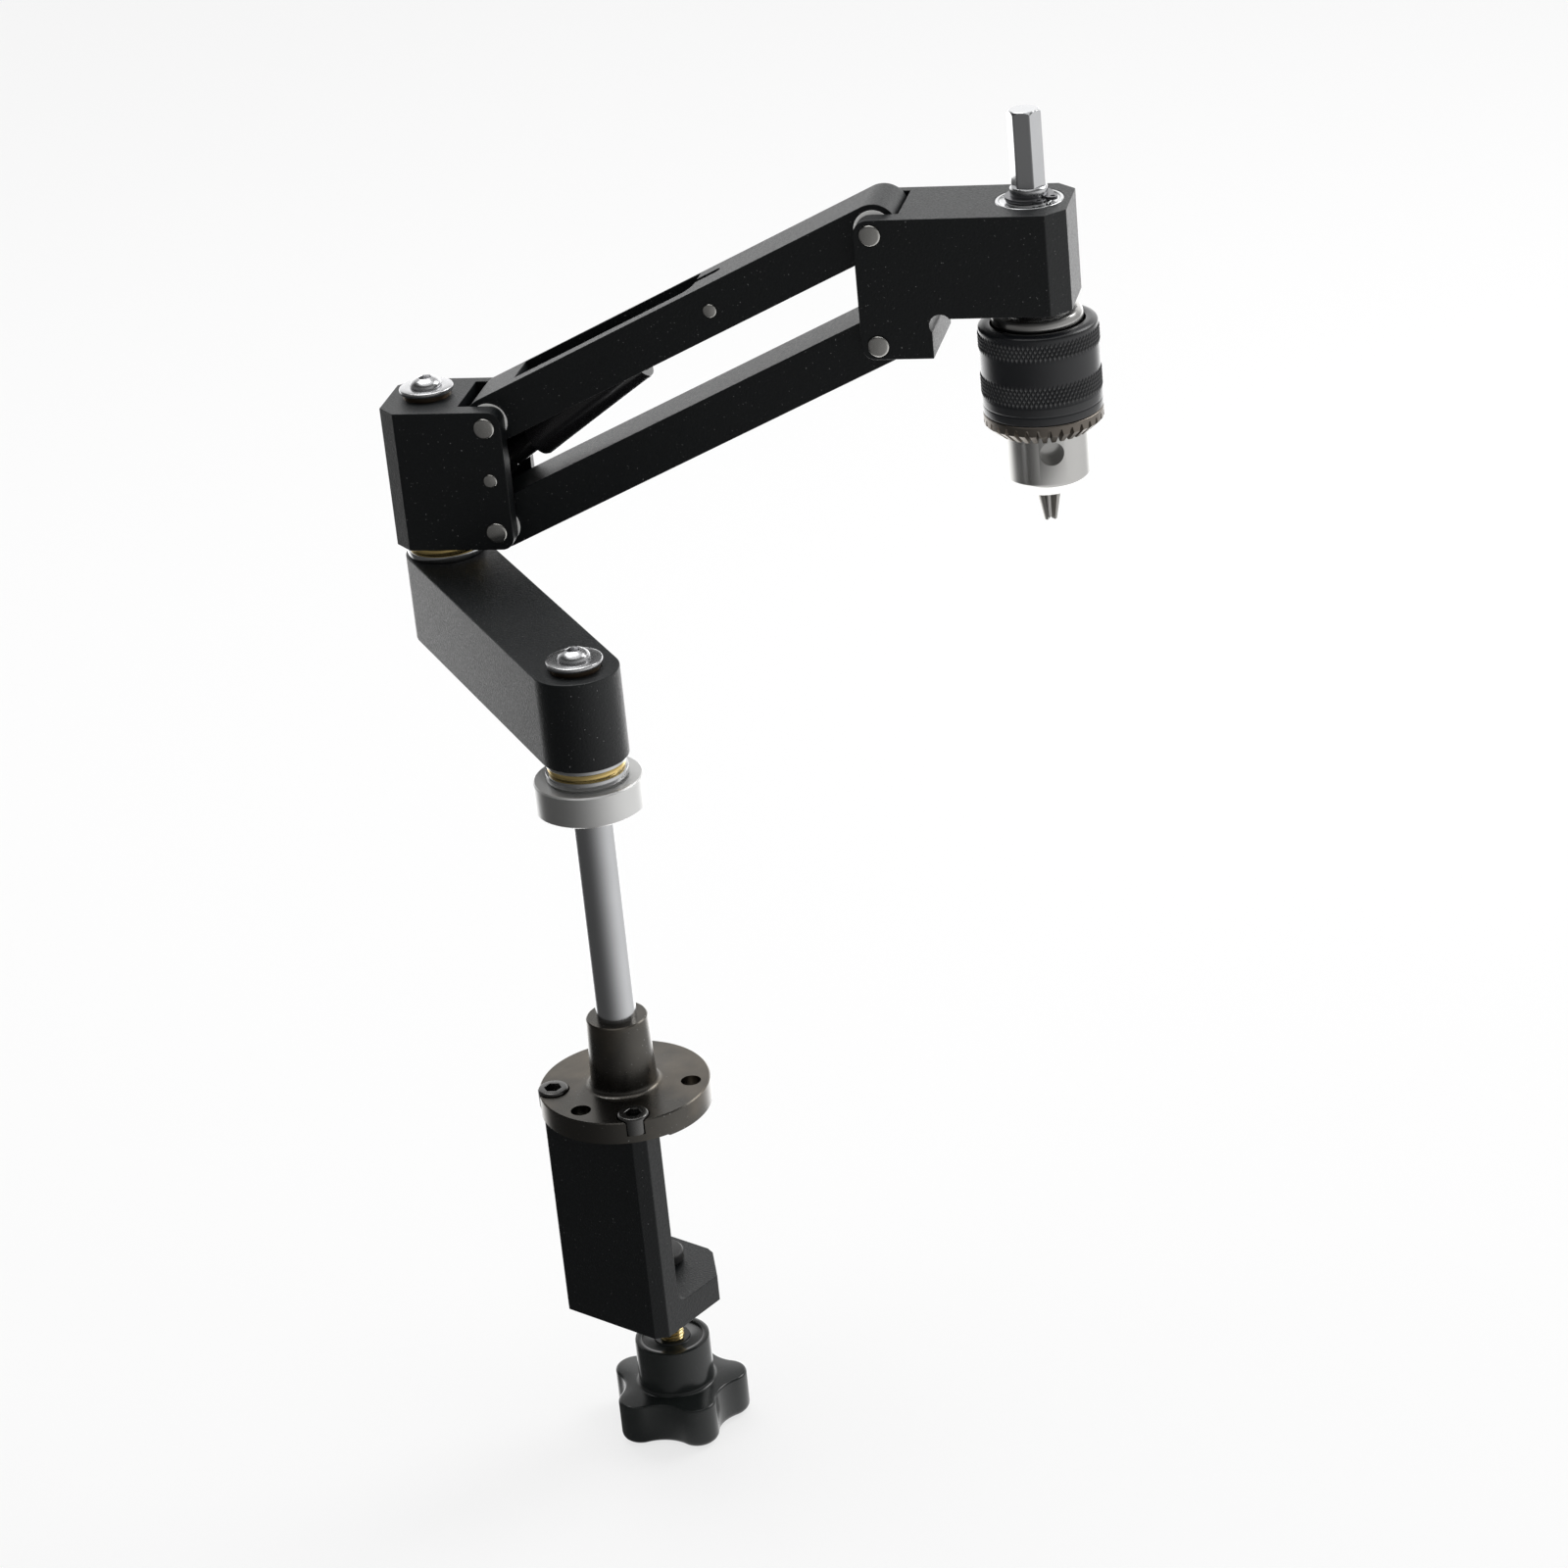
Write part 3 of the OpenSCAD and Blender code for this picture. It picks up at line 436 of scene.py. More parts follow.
def empty_material(name: str) -> bpy.types.Material:
    """A material with a node tree that holds nothing yet.

    Args:
        name: the material's name.

    Returns:
        The material.
    """
    mat = bpy.data.materials.new(name)
    mat.use_nodes = True
    mat.node_tree.nodes.clear()
    return mat


def give_surface(tree: Tree, shader: Socket) -> None:
    """Make a shader the tree's result."""
    tree.links.new(shader, tree.nodes.new("ShaderNodeOutputMaterial").inputs["Surface"])


class Grain(Enum):
    """What the surface of a finish was left with."""

    BLASTED = "even fine grain"
    TURNED = "fine rings round the axis"
    MOULDED = "faint ripple"
    PLATED = "slight orange peel"


@dataclass(frozen=True)
class Finish:
    """One finish: its colour, gloss and the marks of how it was made. Lengths in metres.

    The tint is a second colour that comes through in patches. Peaks are a painted highlight on a knurl's
    ridges:
    the two distances from the axis between which the highlight comes up, and its grey.
    """

    slot: str
    colour: Vec3
    metallic: float = 1.0
    rough: float = 0.3
    rough_swing: float = 0.06
    tone_swing: float = 0.15
    grain: Grain = Grain.BLASTED
    grain_size: float = 0.0004
    grain_depth: float = 0.000012
    ior: float = 1.5
    specks: float = 0.0
    coat: float = 0.0
    tint: Vec3 | None = None
    peaks: Vec3 | None = None

    def material(self, axis: Vec3, suffix: str) -> bpy.types.Material:
        """Make the material.

        Args:
            axis: a point on the upright centre line of turned marks, in metres.
            suffix: added to the name where a finish is made for more than one axis.

        Returns:
            The material.
        """
        mat = empty_material(self.slot + suffix)
        tree = mat.node_tree
        plain = node(tree, "TexCoord", {}, "Object")
        where = self._round_axis(tree, plain, axis) if self.grain is Grain.TURNED else plain
        patches_a_metre, dust_a_metre = 55.0, 1500.0
        tinted, dusty = (0.45, 0.75), (0.74, 0.80)
        fine = noise(tree, where, 1.0 / self.grain_size, 3.0)
        broad = noise(tree, plain, patches_a_metre, 4.0)
        darker = tuple(c * (1 - self.tone_swing) for c in self.colour)
        colour = blend(tree, self.colour, broad, darker)
        if self.tint is not None:
            colour = blend(tree, colour, ramp(tree, broad, tinted), self.tint)
        if self.specks > 0:
            dust = ramp(tree, noise(tree, plain, dust_a_metre, 1.0), dusty)
            colour = blend(tree, colour, dust, (self.specks,) * 3)
        # painted highlight: between two distances from the axis, so on the knurl's peaks, the colour goes
        # over to a lighter grey
        if self.peaks is not None:
            near, far, grey = self.peaks
            away = node(tree, "SeparateXYZ", {"Vector": where}, "X")
            colour = blend(tree, colour, ramp(tree, away, (near, far)), (grey,) * 3)
        span = (max(self.rough - self.rough_swing, 0.02), self.rough + self.rough_swing)
        rough = ramp(tree, fine if self.grain is Grain.BLASTED else broad, after=span)
        bump = {"Strength": 1.0, "Distance": self.grain_depth, "Height": fine}
        feeds = {
            "Base Color": colour, "Metallic": self.metallic, "Roughness": rough, "IOR": self.ior,
            "Coat Weight": self.coat, "Coat Roughness": 0.08, "Normal": node(tree, "Bump", bump, "Normal"),
        }
        give_surface(tree, node(tree, "BsdfPrincipled", feeds, "BSDF"))
        return mat

    @staticmethod
    def _round_axis(tree: Tree, plain: Socket, axis: Vec3) -> Socket:
        """Coordinates in which turned marks are rings: distance from the axis, a little of x, and height.

        Args:
            tree: the node tree.
            plain: the Object coordinates.
            axis: a point on the marks' upright axis, in metres.

        Returns:
            The new coordinates.
        """
        centred = node(tree, "Mapping", {"Vector": plain, "Location": axis}, "Vector", vector_type="TEXTURE")
        parts = [node(tree, "SeparateXYZ", {"Vector": centred}, letter) for letter in "XYZ"]
        level = node(tree, "CombineXYZ", {"X": parts[0], "Y": parts[1]}, "Vector")
        away = node(tree, "VectorMath", {0: level}, "Value", operation="LENGTH")
        little = node(tree, "Math", {0: parts[0], 1: 0.03}, operation="MULTIPLY")
        return node(tree, "CombineXYZ", {"X": away, "Y": little, "Z": parts[2]}, "Vector")


FINISHES: tuple[Finish, ...] = (
    Finish(
        "black_anodised", (0.0016, 0.0036, 0.0047), 0.0, 0.45, 0.16, 0.25, specks=0.16, grain_size=0.0007,
        grain_depth=0.00012, ior=1.45,
    ),
    Finish(
        "dark_turned_steel", (0.112, 0.106, 0.096), 1.0, 0.28, 0.08, 0.45, Grain.TURNED, 0.0003, 0.000010,
        specks=0.45, tint=(0.17, 0.148, 0.12),
    ),
    Finish("black_oxide", (0.14, 0.138, 0.135), 1.0, 0.28, 0.06),
    Finish("ground_steel", (0.56, 0.565, 0.575), 1.0, 0.20, 0.05, 0.12, Grain.TURNED, 0.00025, 0.000004),
    Finish("bright_aluminium", (0.70, 0.70, 0.69), 1.0, 0.40, 0.05, 0.08, Grain.TURNED, 0.0003, 0.000005),
    Finish("bearing_steel", (0.55, 0.555, 0.56), 1.0, 0.16, 0.04, 0.1, Grain.TURNED, 0.0003, 0.000003),
    Finish("brass", (0.80, 0.60, 0.24), 1.0, 0.24, 0.05, 0.15, Grain.PLATED, 0.0008, 0.000006),
    # the bushes' bronze is darker than bare bronze: partly an oiled dark bronze, partly painted shade under
    # the big washers
    Finish("bronze", (0.16, 0.125, 0.090), 1.0, 0.42, 0.05, 0.2),
    Finish("bright_plate", (0.60, 0.60, 0.61), 1.0, 0.26, 0.04, 0.1, Grain.PLATED, 0.0012, 0.000003),
    Finish("pin_steel", (0.66, 0.65, 0.62), 1.0, 0.24, 0.06, 0.3, Grain.PLATED, 0.0013, 0.00003),
    Finish("white_nylon", (0.84, 0.84, 0.82), 0.0, 0.45, 0.05, 0.04, Grain.MOULDED, 0.0008, 0.000005),
    Finish("strut_paint", (0.010, 0.010, 0.011), 0.0, 0.22, 0.05, 0.2, Grain.PLATED, 0.0012, 1e-5, coat=0.4),
    Finish("rod_chrome", (0.76, 0.765, 0.775), 1.0, 0.08, 0.02, 0.05, Grain.PLATED, 0.002, 0.000004),
    Finish("spring_steel", (0.20, 0.20, 0.21), 1.0, 0.34, 0.06),
    Finish("chuck_steel", (0.52, 0.515, 0.50), 1.0, 0.22, 0.05, 0.1, Grain.TURNED, 0.00025, 0.000005),
    Finish("jaw_steel", (0.36, 0.35, 0.33), 1.0, 0.30, 0.06, 0.2, Grain.PLATED, 0.0004, 0.000006),
    Finish(
        "knurled_black", (0.010, 0.011, 0.0135), 0.0, 0.28, 0.05, 0.25, Grain.TURNED, 0.0003, 0.000006,
        # peaks: painted highlight on the ridges of the sleeve's knurls
        peaks=(0.01926, 0.01946, 0.085),
    ),
    Finish("gear_steel", (0.20, 0.178, 0.155), 1.0, 0.40, 0.06, 0.25),
    Finish("yellow_plate", (0.62, 0.49, 0.24), 1.0, 0.26, 0.05, 0.2, Grain.PLATED, 0.0008, 0.000006),
    Finish(
        "knob_plastic", (0.012, 0.0145, 0.0140), 0.0, 0.20, 0.05, 0.2, Grain.MOULDED, 0.0015, 1e-5,
        specks=0.05,
    ),
    Finish("pad_plastic", (0.012, 0.012, 0.012), 0.0, 0.5, 0.05, 0.2, Grain.MOULDED, 0.0008, 0.00001),
)


# Workshop


def new_object(name: str, data: bpy.types.ID) -> bpy.types.Object:
    """An object of the scene, at the origin.

    Args:
        name: the object's name.
        data: its mesh, camera or lamp.

    Returns:
        The object.
    """
    made = bpy.data.objects.new(name, data)
    bpy.context.scene.collection.objects.link(made)
    return made


def rows_of(faces: Sequence[np.ndarray]) -> list[list[int]]:
    """The faces as plain lists of point numbers."""
    return [row for block in faces for row in block.tolist()]


class Workshop:
    """Turns surfaces and frame nodes into finished pieces, and knows each node's body and slot."""

    def __init__(self, frame: dict) -> None:
        """Read bodies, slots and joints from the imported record.
        """
        record = frame["record"]
        self.nodes: dict[str, bpy.types.Object] = frame["nodes"]
        self.body_of = {n: b for b, ns in record["behaviour"]["bodies"].items() for n in ns}
        self.slot_of = {s["node"]: s["material_slot"] for s in record["subparts"]}
        self.joints = {j["name"]: j for j in frame["joints"]}
        self.finishes = {f.slot: f for f in FINISHES}
        self._made: dict[tuple[str, Vec3], bpy.types.Material] = {}

    def point(self, joint: str) -> Vec3:
        """Where a joint's axis passes, in metres."""
        return tuple(self.joints[joint]["pos_m"])

    def finish(self, node_name: str, axis: Vec3) -> bpy.types.Material:
        """The material of a node's slot, made once for each axis of turned marks.

        Args:
            node_name: the frame node.
            axis: a point on the axis, which only finishes with turned marks need.

        Returns:
            The material.
        """
        slot = self.slot_of[node_name]
        finish = self.finishes[slot]
        key = (slot, tuple(round(a, 4) for a in axis) if finish.grain is Grain.TURNED else ORIGIN)
        if key not in self._made:
            count = sum(1 for k in self._made if k[0] == slot)
            self._made[key] = finish.material(axis, "" if count == 0 else f"_{count + 1}")
        return self._made[key]

    def keep(self, node_name: str, axis: Vec3 = ORIGIN) -> None:
        """Give a frame node its finish and leave its shape as it is.

        Args:
            node_name: the frame node.
            axis: a point on the axis of turned marks.
        """
        materials = self.nodes[node_name].data.materials
        material = self.finish(node_name, axis)
        if not materials:
            materials.append(material)
        for i in range(len(materials)):
            materials[i] = material
        LOG.info("%s keeps its solid, finish %s", node_name, material.name)

    def settle(self, piece: bpy.types.Object, node_name: str, axis: Vec3) -> None:
        """Dress a piece, put it on its node's body and let it stand for the node.

        Args:
            piece: the new piece.
            node_name: the frame node that it stands for.
            axis: a point on the axis of turned marks.
        """
        piece.data.materials.clear()
        piece.data.materials.append(self.finish(node_name, axis))
        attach(piece, self.body_of[node_name])
        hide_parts(node_name)
        LOG.info("%s on %s, %d faces", piece.name, self.body_of[node_name], len(piece.data.polygons))

    def make(self, name: str, node_name: str, surface: Surface, place: Place, sharp: float = 38.0) -> None:
        """Make a piece from a surface.

        Args:
            name: the piece's name.
            node_name: the frame node that it stands for.
            surface: its skin in the place's own millimetres.
            place: where that is. Turned marks run round its upright axis.
            sharp: edges that turn more than this, in degrees, stay sharp.
        """
        same_point = 1e-7
        mesh = bpy.data.meshes.new(name)
        mesh.from_pydata(place.world(surface.points).tolist(), [], rows_of(surface.faces))
        cut = bmesh.new()
        cut.from_mesh(mesh)
        bmesh.ops.remove_doubles(cut, verts=cut.verts, dist=same_point)
        bmesh.ops.recalc_face_normals(cut, faces=cut.faces)
        cut.to_mesh(mesh)
        cut.free()
        mesh.shade_smooth()
        mesh.set_sharp_from_angle(angle=math.radians(sharp))
        self.settle(new_object(name, mesh), node_name, place.origin)

    def broken_edges(
        self, name: str, node_name: str, width: float, segments: int = 2, axis: Vec3 = ORIGIN,
        turn: float = 30.0,
    ) -> None:
        """Copy a frame node, weld it and break its edges.

        Args:
            name: the piece's name.
            node_name: the frame node that it copies and stands for.
            width: width of the broken edge in millimetres.
            segments: steps of the rounding.
            axis: a point on the axis of turned marks.
            turn: edges that turn less than this, in degrees, are left.
        """
        same_point, sliver, level = 2e-6, 1e-6, math.radians(0.6)
        mesh = self.nodes[node_name].data.copy()
        mesh.name = name
        cut = bmesh.new()
        cut.from_mesh(mesh)
        bmesh.ops.remove_doubles(cut, verts=cut.verts, dist=same_point)
        bmesh.ops.dissolve_degenerate(cut, edges=cut.edges, dist=sliver)
        bmesh.ops.dissolve_limit(cut, angle_limit=level, verts=cut.verts, edges=cut.edges)
        cut.to_mesh(mesh)
        cut.free()
        for layer in [a.name for a in mesh.attributes if a.name == "custom_normal"]:
            mesh.attributes.remove(mesh.attributes[layer])
        mesh.shade_smooth()
        mesh.set_sharp_from_angle(angle=math.radians(turn))
        piece = new_object(name, mesh)
        bevel = piece.modifiers.new("broken edges", "BEVEL")
        bevel.width = width * MM
        bevel.segments = segments
        bevel.limit_method = "ANGLE"
        bevel.angle_limit = math.radians(turn)
        bevel.use_clamp_overlap = True
        bevel.harden_normals = True
        self.settle(piece, node_name, axis)


# Sub-assemblies


@dataclass
class SubAssembly:
    """What every sub-assembly has: the workshop and its place."""

    shop: Workshop
    place: Place

    def button_bolt(self, name: str, node_name: str, head: float) -> None:
        """An M6 button-head bolt: a low polished dome with a 4 mm hexagon socket.

        The dome is an ellipse, as far out as 5.25 mm times the sine of an angle and as high as 2.85 mm
        times its cosine, above a cylindrical foot.

        Args:
            name: piece name.
            node_name: frame node.
            head: height of the underside of the head.
        """
        dome_r, foot, rise, mouth, shank, end = 5.25, 0.45, 2.85, 3.02, 3.0, -16.0
        dome = [(dome_r * math.sin(a), foot + rise * math.cos(a)) for a in np.linspace(0.47, TAU / 4, 14)]
        outside = [
            (2.5, mouth), *dome[1:], (dome_r, 0.1), (dome_r - 0.15, 0.0), (shank, 0.0), (shank, end + 0.4),
            (shank - 0.4, end), (0.0, end),
        ]
        bolt = socket_head(outside, 4.0, 1.5, mouth)
        self.shop.make(name, node_name, bolt, self.place.shifted(0, 0, head), 30.0)

    def thrust_bearing(self, prefix: str, nodes: str, inner: float, low: float) -> None:
        """The lower ring of a thrust bearing and the brass ball cage on it.

        The cage's outer wall is crowned between two small flanges: its radius is 12.15 mm plus 0.33 mm
        times the cosine of an angle that goes from -82 to 82 degrees up the wall.

        Args:
            prefix: start of the pieces' names.
            nodes: start of the frame nodes' names.
            inner: bore radius of the ring.
            low: height of the ring's underside.
        """
        ring_r, ring_high, cage_high, flange_r, bore = 13.2, 2.4, 2.3, 11.9, 7.2
        seat = low + ring_high
        top = seat + cage_high
        self.shop.make(f"{prefix}_race", f"{nodes}_race", thrust_race(inner, ring_r, low, seat), self.place)
        mid, half = (seat + top) / 2, (top - seat) / 2
        up = np.linspace(-1, 1, 9)
        wall = [(12.15 + 0.33 * math.cos(a * TAU / 4.4), mid + half * 0.96 * a) for a in up]
        loop = [(bore, seat), (flange_r, seat), *wall, (flange_r, top), (bore, top)]
        self.shop.make(f"{prefix}_cage", f"{nodes}_cage", turned(loop, 0.05, 144, closed=True), self.place)

    def capped(self, prefix: str, block_top: float) -> None:
        """The big washer on the flange of a bush and the button bolt on it.

        Args:
            prefix: start of the pieces' and the frame nodes' names.
            block_top: height of the block's top, on which the flange lies.
        """
        flange, thick = 1.6, 1.6
        low = block_top + flange
        ring = washer(3.2, 9.0, low, low + thick, 0.45)
        self.shop.make(f"{prefix}_big_washer", f"{prefix}_washer", ring, self.place, 60.0)
        self.button_bolt(f"{prefix}_button_bolt", f"{prefix}_bolt", low + thick)


@dataclass
class BenchClamp(SubAssembly):
    """Bracket, flange, column, collar and the lower bearing, which stay with the bench."""

    column_r: float = 6.5
    journal_r: float = 6.0
    collar_high: float = 118.0
    link_top: float = 155.0
    screw_seats: tuple[Pair, ...] = ((-16.0, -17.0), (-16.0, 17.0))

    def build(self) -> None:
        """Make the fixed pieces."""
        shop, place = self.shop, self.place
        shop.broken_edges("bracket", "clamp_bracket", 0.45, 3)
        shop.broken_edges("flange", "base_flange", 0.3, 2)
        shop.make("flange_cap_screws", "flange_screws", self._cap_screws(), place, 32.0)
        foot, top, tapped, deep = 1.5, self.link_top + 1.6, 3.02, 18.0
        column = turned(
            [
                (0, foot), (self.column_r - 0.01, foot), (self.column_r, foot + 0.5),
                (self.column_r, self.collar_high), (self.journal_r, self.collar_high),
                (self.journal_r, top - 0.5), (self.journal_r - 0.4, top), (tapped, top),
                (tapped, top - deep), (0, top - deep),
            ],
            0.1, 144,
        )
        shop.make("column_tube", "column", column, place)
        shop.broken_edges("collar", "column_collar", 0.35, 3)
        self.thrust_bearing("lower", "column", 6.1, self.collar_high + 0.6)
        self.capped("column", self.link_top)

    def _cap_screws(self) -> Surface:
        """The two M6 cap screws of the flange, each with a 5 mm hexagon socket.

        Returns:
            Both screws, upright on the floors of the counterbores.
        """
        head_r, head_high, shank, end = 5.0, 6.0, 3.0, -14.0
        outside = [
            (2.98, head_high), (4.55, head_high), (head_r, 5.5), (head_r, 0.0), (shank, 0.0),
            (shank, end + 0.4), (shank - 0.4, end), (0, end),
        ]
        one = socket_head(outside, 5.0, 3.1, head_high)
        return joined([one.moved(x, y, 3.0) for x, y in self.screw_seats])


@dataclass
class ClampKnob(SubAssembly):
    """The clamp screw with its pad and five-lobed knob."""

    screw_r: float = 4.0
    pitch: float = 1.25
    pad_low: float = -64.2
    hub_top: float = -93.8
    hub_r: float = 12.7
    hub_high: float = 16.6
    lobe_r: float = 23.6
    valley_r: float = 17.8
    lobe_round: float = 7.0
    lobe_high: float = 15.0
    turn: float = 24.8

    def build(self) -> None:
        """Make the pad, the thread and the knob."""
        shop, place, low = self.shop, self.place, self.pad_low
        pad = turned(
            [(0, low + 2.2), (2.55, low + 2.2), (2.55, low), (6.4, low), (7, low + 0.6), (7, low + 3.4),
             (6.4, low + 4), (0, low + 4)],
            0.2, 96,
        )
        shop.make("clamp_pad", "pressure_pad", pad, place)
        thread = threaded(self.screw_r, 0.72, self.pitch, self.hub_top - 11.9, low - 0.35)
        point = [(0, low - 0.6), (2.5, low - 0.6), (2.5, low + 1.7), (2.2, low + 2.0), (0, low + 2.0)]
        tip = turned(point, 0.1, 48)
        shop.make("clamp_thread", "clamp_screw", joined([thread, tip]), place, 50.0)
        shop.make("lobed_knob", "star_knob", self._knob(), place, 45.0)

    def outline(self, steps: int) -> np.ndarray:
        """The knob's outline.

        Within each tenth of a turn the edge is the far side of the lobe's circle up to where it touches
        the valley's circle, and past that the near side of the valley's circle: centre distance times the
        cosine of the angle, plus or minus the root of the circle's radius squared less centre distance
        times the sine, squared.

        Args:
            steps: points round.

        Returns:
            Points, shape (steps, 2).
        """
        tenth = TAU / 10
        lr = self.lobe_round
        ld = self.lobe_r - lr
        vr = (ld**2 + self.valley_r**2 - 2 * ld * self.valley_r * math.cos(tenth) - lr**2) / (
            2 * lr - 2 * self.valley_r + 2 * ld * math.cos(tenth)
        )
        vd = self.valley_r + vr
        share = lr / (lr + vr)
        touch = math.atan2(share * vd * math.sin(tenth), ld + share * (vd * math.cos(tenth) - ld))
        angle = ring_angles(steps)
        near = np.abs((angle + tenth) % (2 * tenth) - tenth)
        far = tenth - near
        lobe = ld * np.cos(near) + np.sqrt(np.maximum(lr**2 - (ld * np.sin(near)) ** 2, 0))
        valley = vd * np.cos(far) - np.sqrt(np.maximum(vr**2 - (vd * np.sin(far)) ** 2, 0))
        r = np.where(near < touch, lobe, valley)
        angle = angle + math.radians(self.turn)
        return np.stack([r * np.cos(angle), r * np.sin(angle)], axis=1)

    def _knob(self) -> Surface:
        """Stack inset copies of the outline into the lobed body, then circles into the hub.

        An inset copy is the outline moved inwards along its own normal, which is its tangent turned a
        quarter.

        Returns:
            The knob's skin, from the middle of its underside to the bottom of the screw's hole.
        """
        steps = 240
        line = self.outline(steps)
        tangent = np.roll(line, -1, axis=0) - np.roll(line, 1, axis=0)
        tangent /= np.linalg.norm(tangent, axis=1, keepdims=True)
        normal = np.stack([tangent[:, 1], -tangent[:, 0]], axis=1)
        angle = ring_angles(steps) + math.radians(self.turn)
        circle = np.stack([np.cos(angle), np.sin(angle)], axis=1)
        top, hub_r, high = self.hub_top, self.hub_r, self.lobe_high
        low = top - self.hub_high - high
        belly, edge, fillet = 2.6, 0.9, 1.3
        curve = [(1 - math.sin(a), 1 - math.cos(a)) for a in np.linspace(0, TAU / 4, 6)]
        insets = [(belly * s, belly * c) for s, c in curve]
        insets += [(edge * c, high - edge * s) for s, c in curve]
        hub = [(hub_r + fillet * s, low + high + fillet * c) for s, c in curve]
        cap = [(hub_r, 0.7), (hub_r - 0.2, 0.2), (hub_r - 0.7, 0), (10.5, 0), (10.35, 0.1), (10.2, 0.7)]
        cap += [(6.3, 0.7), (6.15, 0.6), (6.0, 0), (4.3, 0), (4.03, 0.3), (4.03, 12.0), (0.0, 12.0)]
        hub += [(r, top - below) for r, below in cap]

        def level(points: np.ndarray, z: float) -> np.ndarray:
            """Points of the plane at a height."""
            return np.column_stack([points, np.full(steps, z)])

        foot = [level(circle * r, low) for r in (0.0, 9.0)]
        body = [level(line - normal * inset, low + z) for inset, z in insets]
        return skin(np.stack(foot + body + [level(circle * r, z) for r, z in hub]))


@dataclass
class SwingLink(SubAssembly):
    """The lower link with its bushes and the pivot of the elbow."""

    low: float = 125.0
    high: float = 155.0
    reach: float = 120.0
    elbow_top: float = 210.0

    def build(self) -> None:
        """Make the link and what turns with it."""
        shop = self.shop
        shop.broken_edges("link_block", "swing_link", 0.4, 3)
        shop.make("link_race", "swing_race", thrust_race(6.35, 13.0, self.low - 1.4, self.low), self.place)
        shop.keep("swing_bushes")
        elbow = SubAssembly(shop, self.place.shifted(self.reach, 0, 0))
        shop.keep("elbow_pivot", elbow.place.origin)
        elbow.thrust_bearing("upper", "elbow", 6.01, self.high)
        elbow.capped("elbow", self.elbow_top)


@dataclass
class BarPins:
    """The two large pins at one end of the bars, the nylon rings on them, and the strut's small pin."""

    gap: float = 36.5
    cheeks: Pair = (-18.25, 15.75)
    radius: float = 3.5
    ring_at: float = 11.775
    small_radius: float = 2.3

    def pins(self) -> Surface:
        """The two pins, one above the other."""
        one = pin(self.radius, self.cheeks, 0.85)
        return joined([one, one.moved(0, 0, -self.gap)])

    def nylon_rings(self) -> Surface:
        """Four thin rings, two on each pin, against the inner faces of the cheeks.

        Returns:
            The rings.
        """
        half = 0.225
        ring = washer(self.radius + 0.01, 6.25, -half, half, 0.08).lying()
        return joined([ring.moved(0, y, z) for y in (-self.ring_at, self.ring_at) for z in (0.0, -self.gap)])

    def strut_pin(self, ends: Pair) -> Surface:
        """The small pin of the gas spring."""
        return pin(self.small_radius, ends, 0.65)


@dataclass
class ElbowBlock(SubAssembly):
    """The elbow block with its bushes, pins and nylon rings."""

    pin_x: float = 23.5
    pin_z: float = 204.5
    low: float = 162.0

    def build(self) -> None:
        """Make the block and the pins that it carries."""
        shop, place, bars = self.shop, self.place, BarPins()
        shop.broken_edges("elbow_body", "elbow_block", 0.35, 3)
        race = thrust_race(6.35, 13.0, self.low - 2.0, self.low)
        shop.make("block_thrust_race", "block_race", race, place)
        shop.keep("elbow_bushes")
        at_pins = place.shifted(self.pin_x, 0, self.pin_z)
        shop.make("rear_bar_pins", "rear_pins", bars.pins(), at_pins, 50.0)
        strut = bars.strut_pin(bars.cheeks).moved(0, 0, -bars.gap / 2)
        shop.make("rear_strut_bolt", "rear_strut_pin", strut, at_pins, 50.0)
        shop.make("rear_nylon_rings", "rear_spacers", bars.nylon_rings(), at_pins)


@dataclass
class ParallelBars(SubAssembly):
    """The two bars, their bushes and the strut's front pin."""

    half_width: float = 11.25
    strut_at: float = 85.5

    def build(self) -> None:
        """Make the bars."""
        shop = self.shop
        shop.broken_edges("upper_arm", "upper_bar", 0.35, 3)
        shop.broken_edges("lower_arm", "lower_bar", 0.35, 3)
        shop.keep("upper_bushes")
        shop.keep("lower_bushes")
        bolt = BarPins().strut_pin((-self.half_width, self.half_width))
        shop.make("front_strut_bolt", "front_strut_pin", bolt, self.place.shifted(self.strut_at, 0, 0), 50.0)


@dataclass
class GasStrut(SubAssembly):
    """The gas spring between the bars."""

    def build(self) -> None:
        """Make the tube and the rod."""
        self.shop.broken_edges("spring_tube", "strut_tube", 0.3, 2, turn=25.0)
        self.shop.broken_edges("spring_rod", "strut_rod", 0.25, 2, turn=25.0)


@dataclass
class HeadBlock(SubAssembly):
    """The head with its pins, rings and spindle bearings."""

    spindle_x: float = 48.25
    drop: float = 5.0
    high: float = 33.0
    bearing_high: float = 7.0

    def build(self) -> None:
        """Make the head."""
        shop, place, bars = self.shop, self.place, BarPins()
        shop.broken_edges("head_body", "head_block", 0.35, 3)
        shop.make("head_bar_pins", "head_pins", bars.pins(), place, 50.0)
        shop.make("head_nylon_rings", "head_spacers", bars.nylon_rings(), place)
        at_bearing = place.shifted(self.spindle_x, 0, self.drop)
        pair = [self._bearing().moved(0, 0, z) for z in (-self.bearing_high, -self.high)]
        shop.make("spindle_bearings", "head_bearings", joined(pair), at_bearing, 30.0)

    def _bearing(self) -> Surface:
        """A shielded ball bearing 12 x 22 x 7, its shields pressed in and beaded round the edge.

        The lower face's points, from the bore out, come again in reverse at the same distances below the
        top.

        Returns:
            The bearing's skin, with its underside at zero.
        """
        face = [
            (6.04, 0.25), (6.25, 0), (7.5, 0), (7.55, 0.45), (8.1, 0.5), (9.2, 0.4), (9.55, 0.2),
            (9.75, 0.45), (9.85, 0), (10.7, 0), (11, 0.3),
        ]
        loop = face + [(r, self.bearing_high - z) for r, z in reversed(face)]
        return turned(loop, 0.06, 120, closed=True)


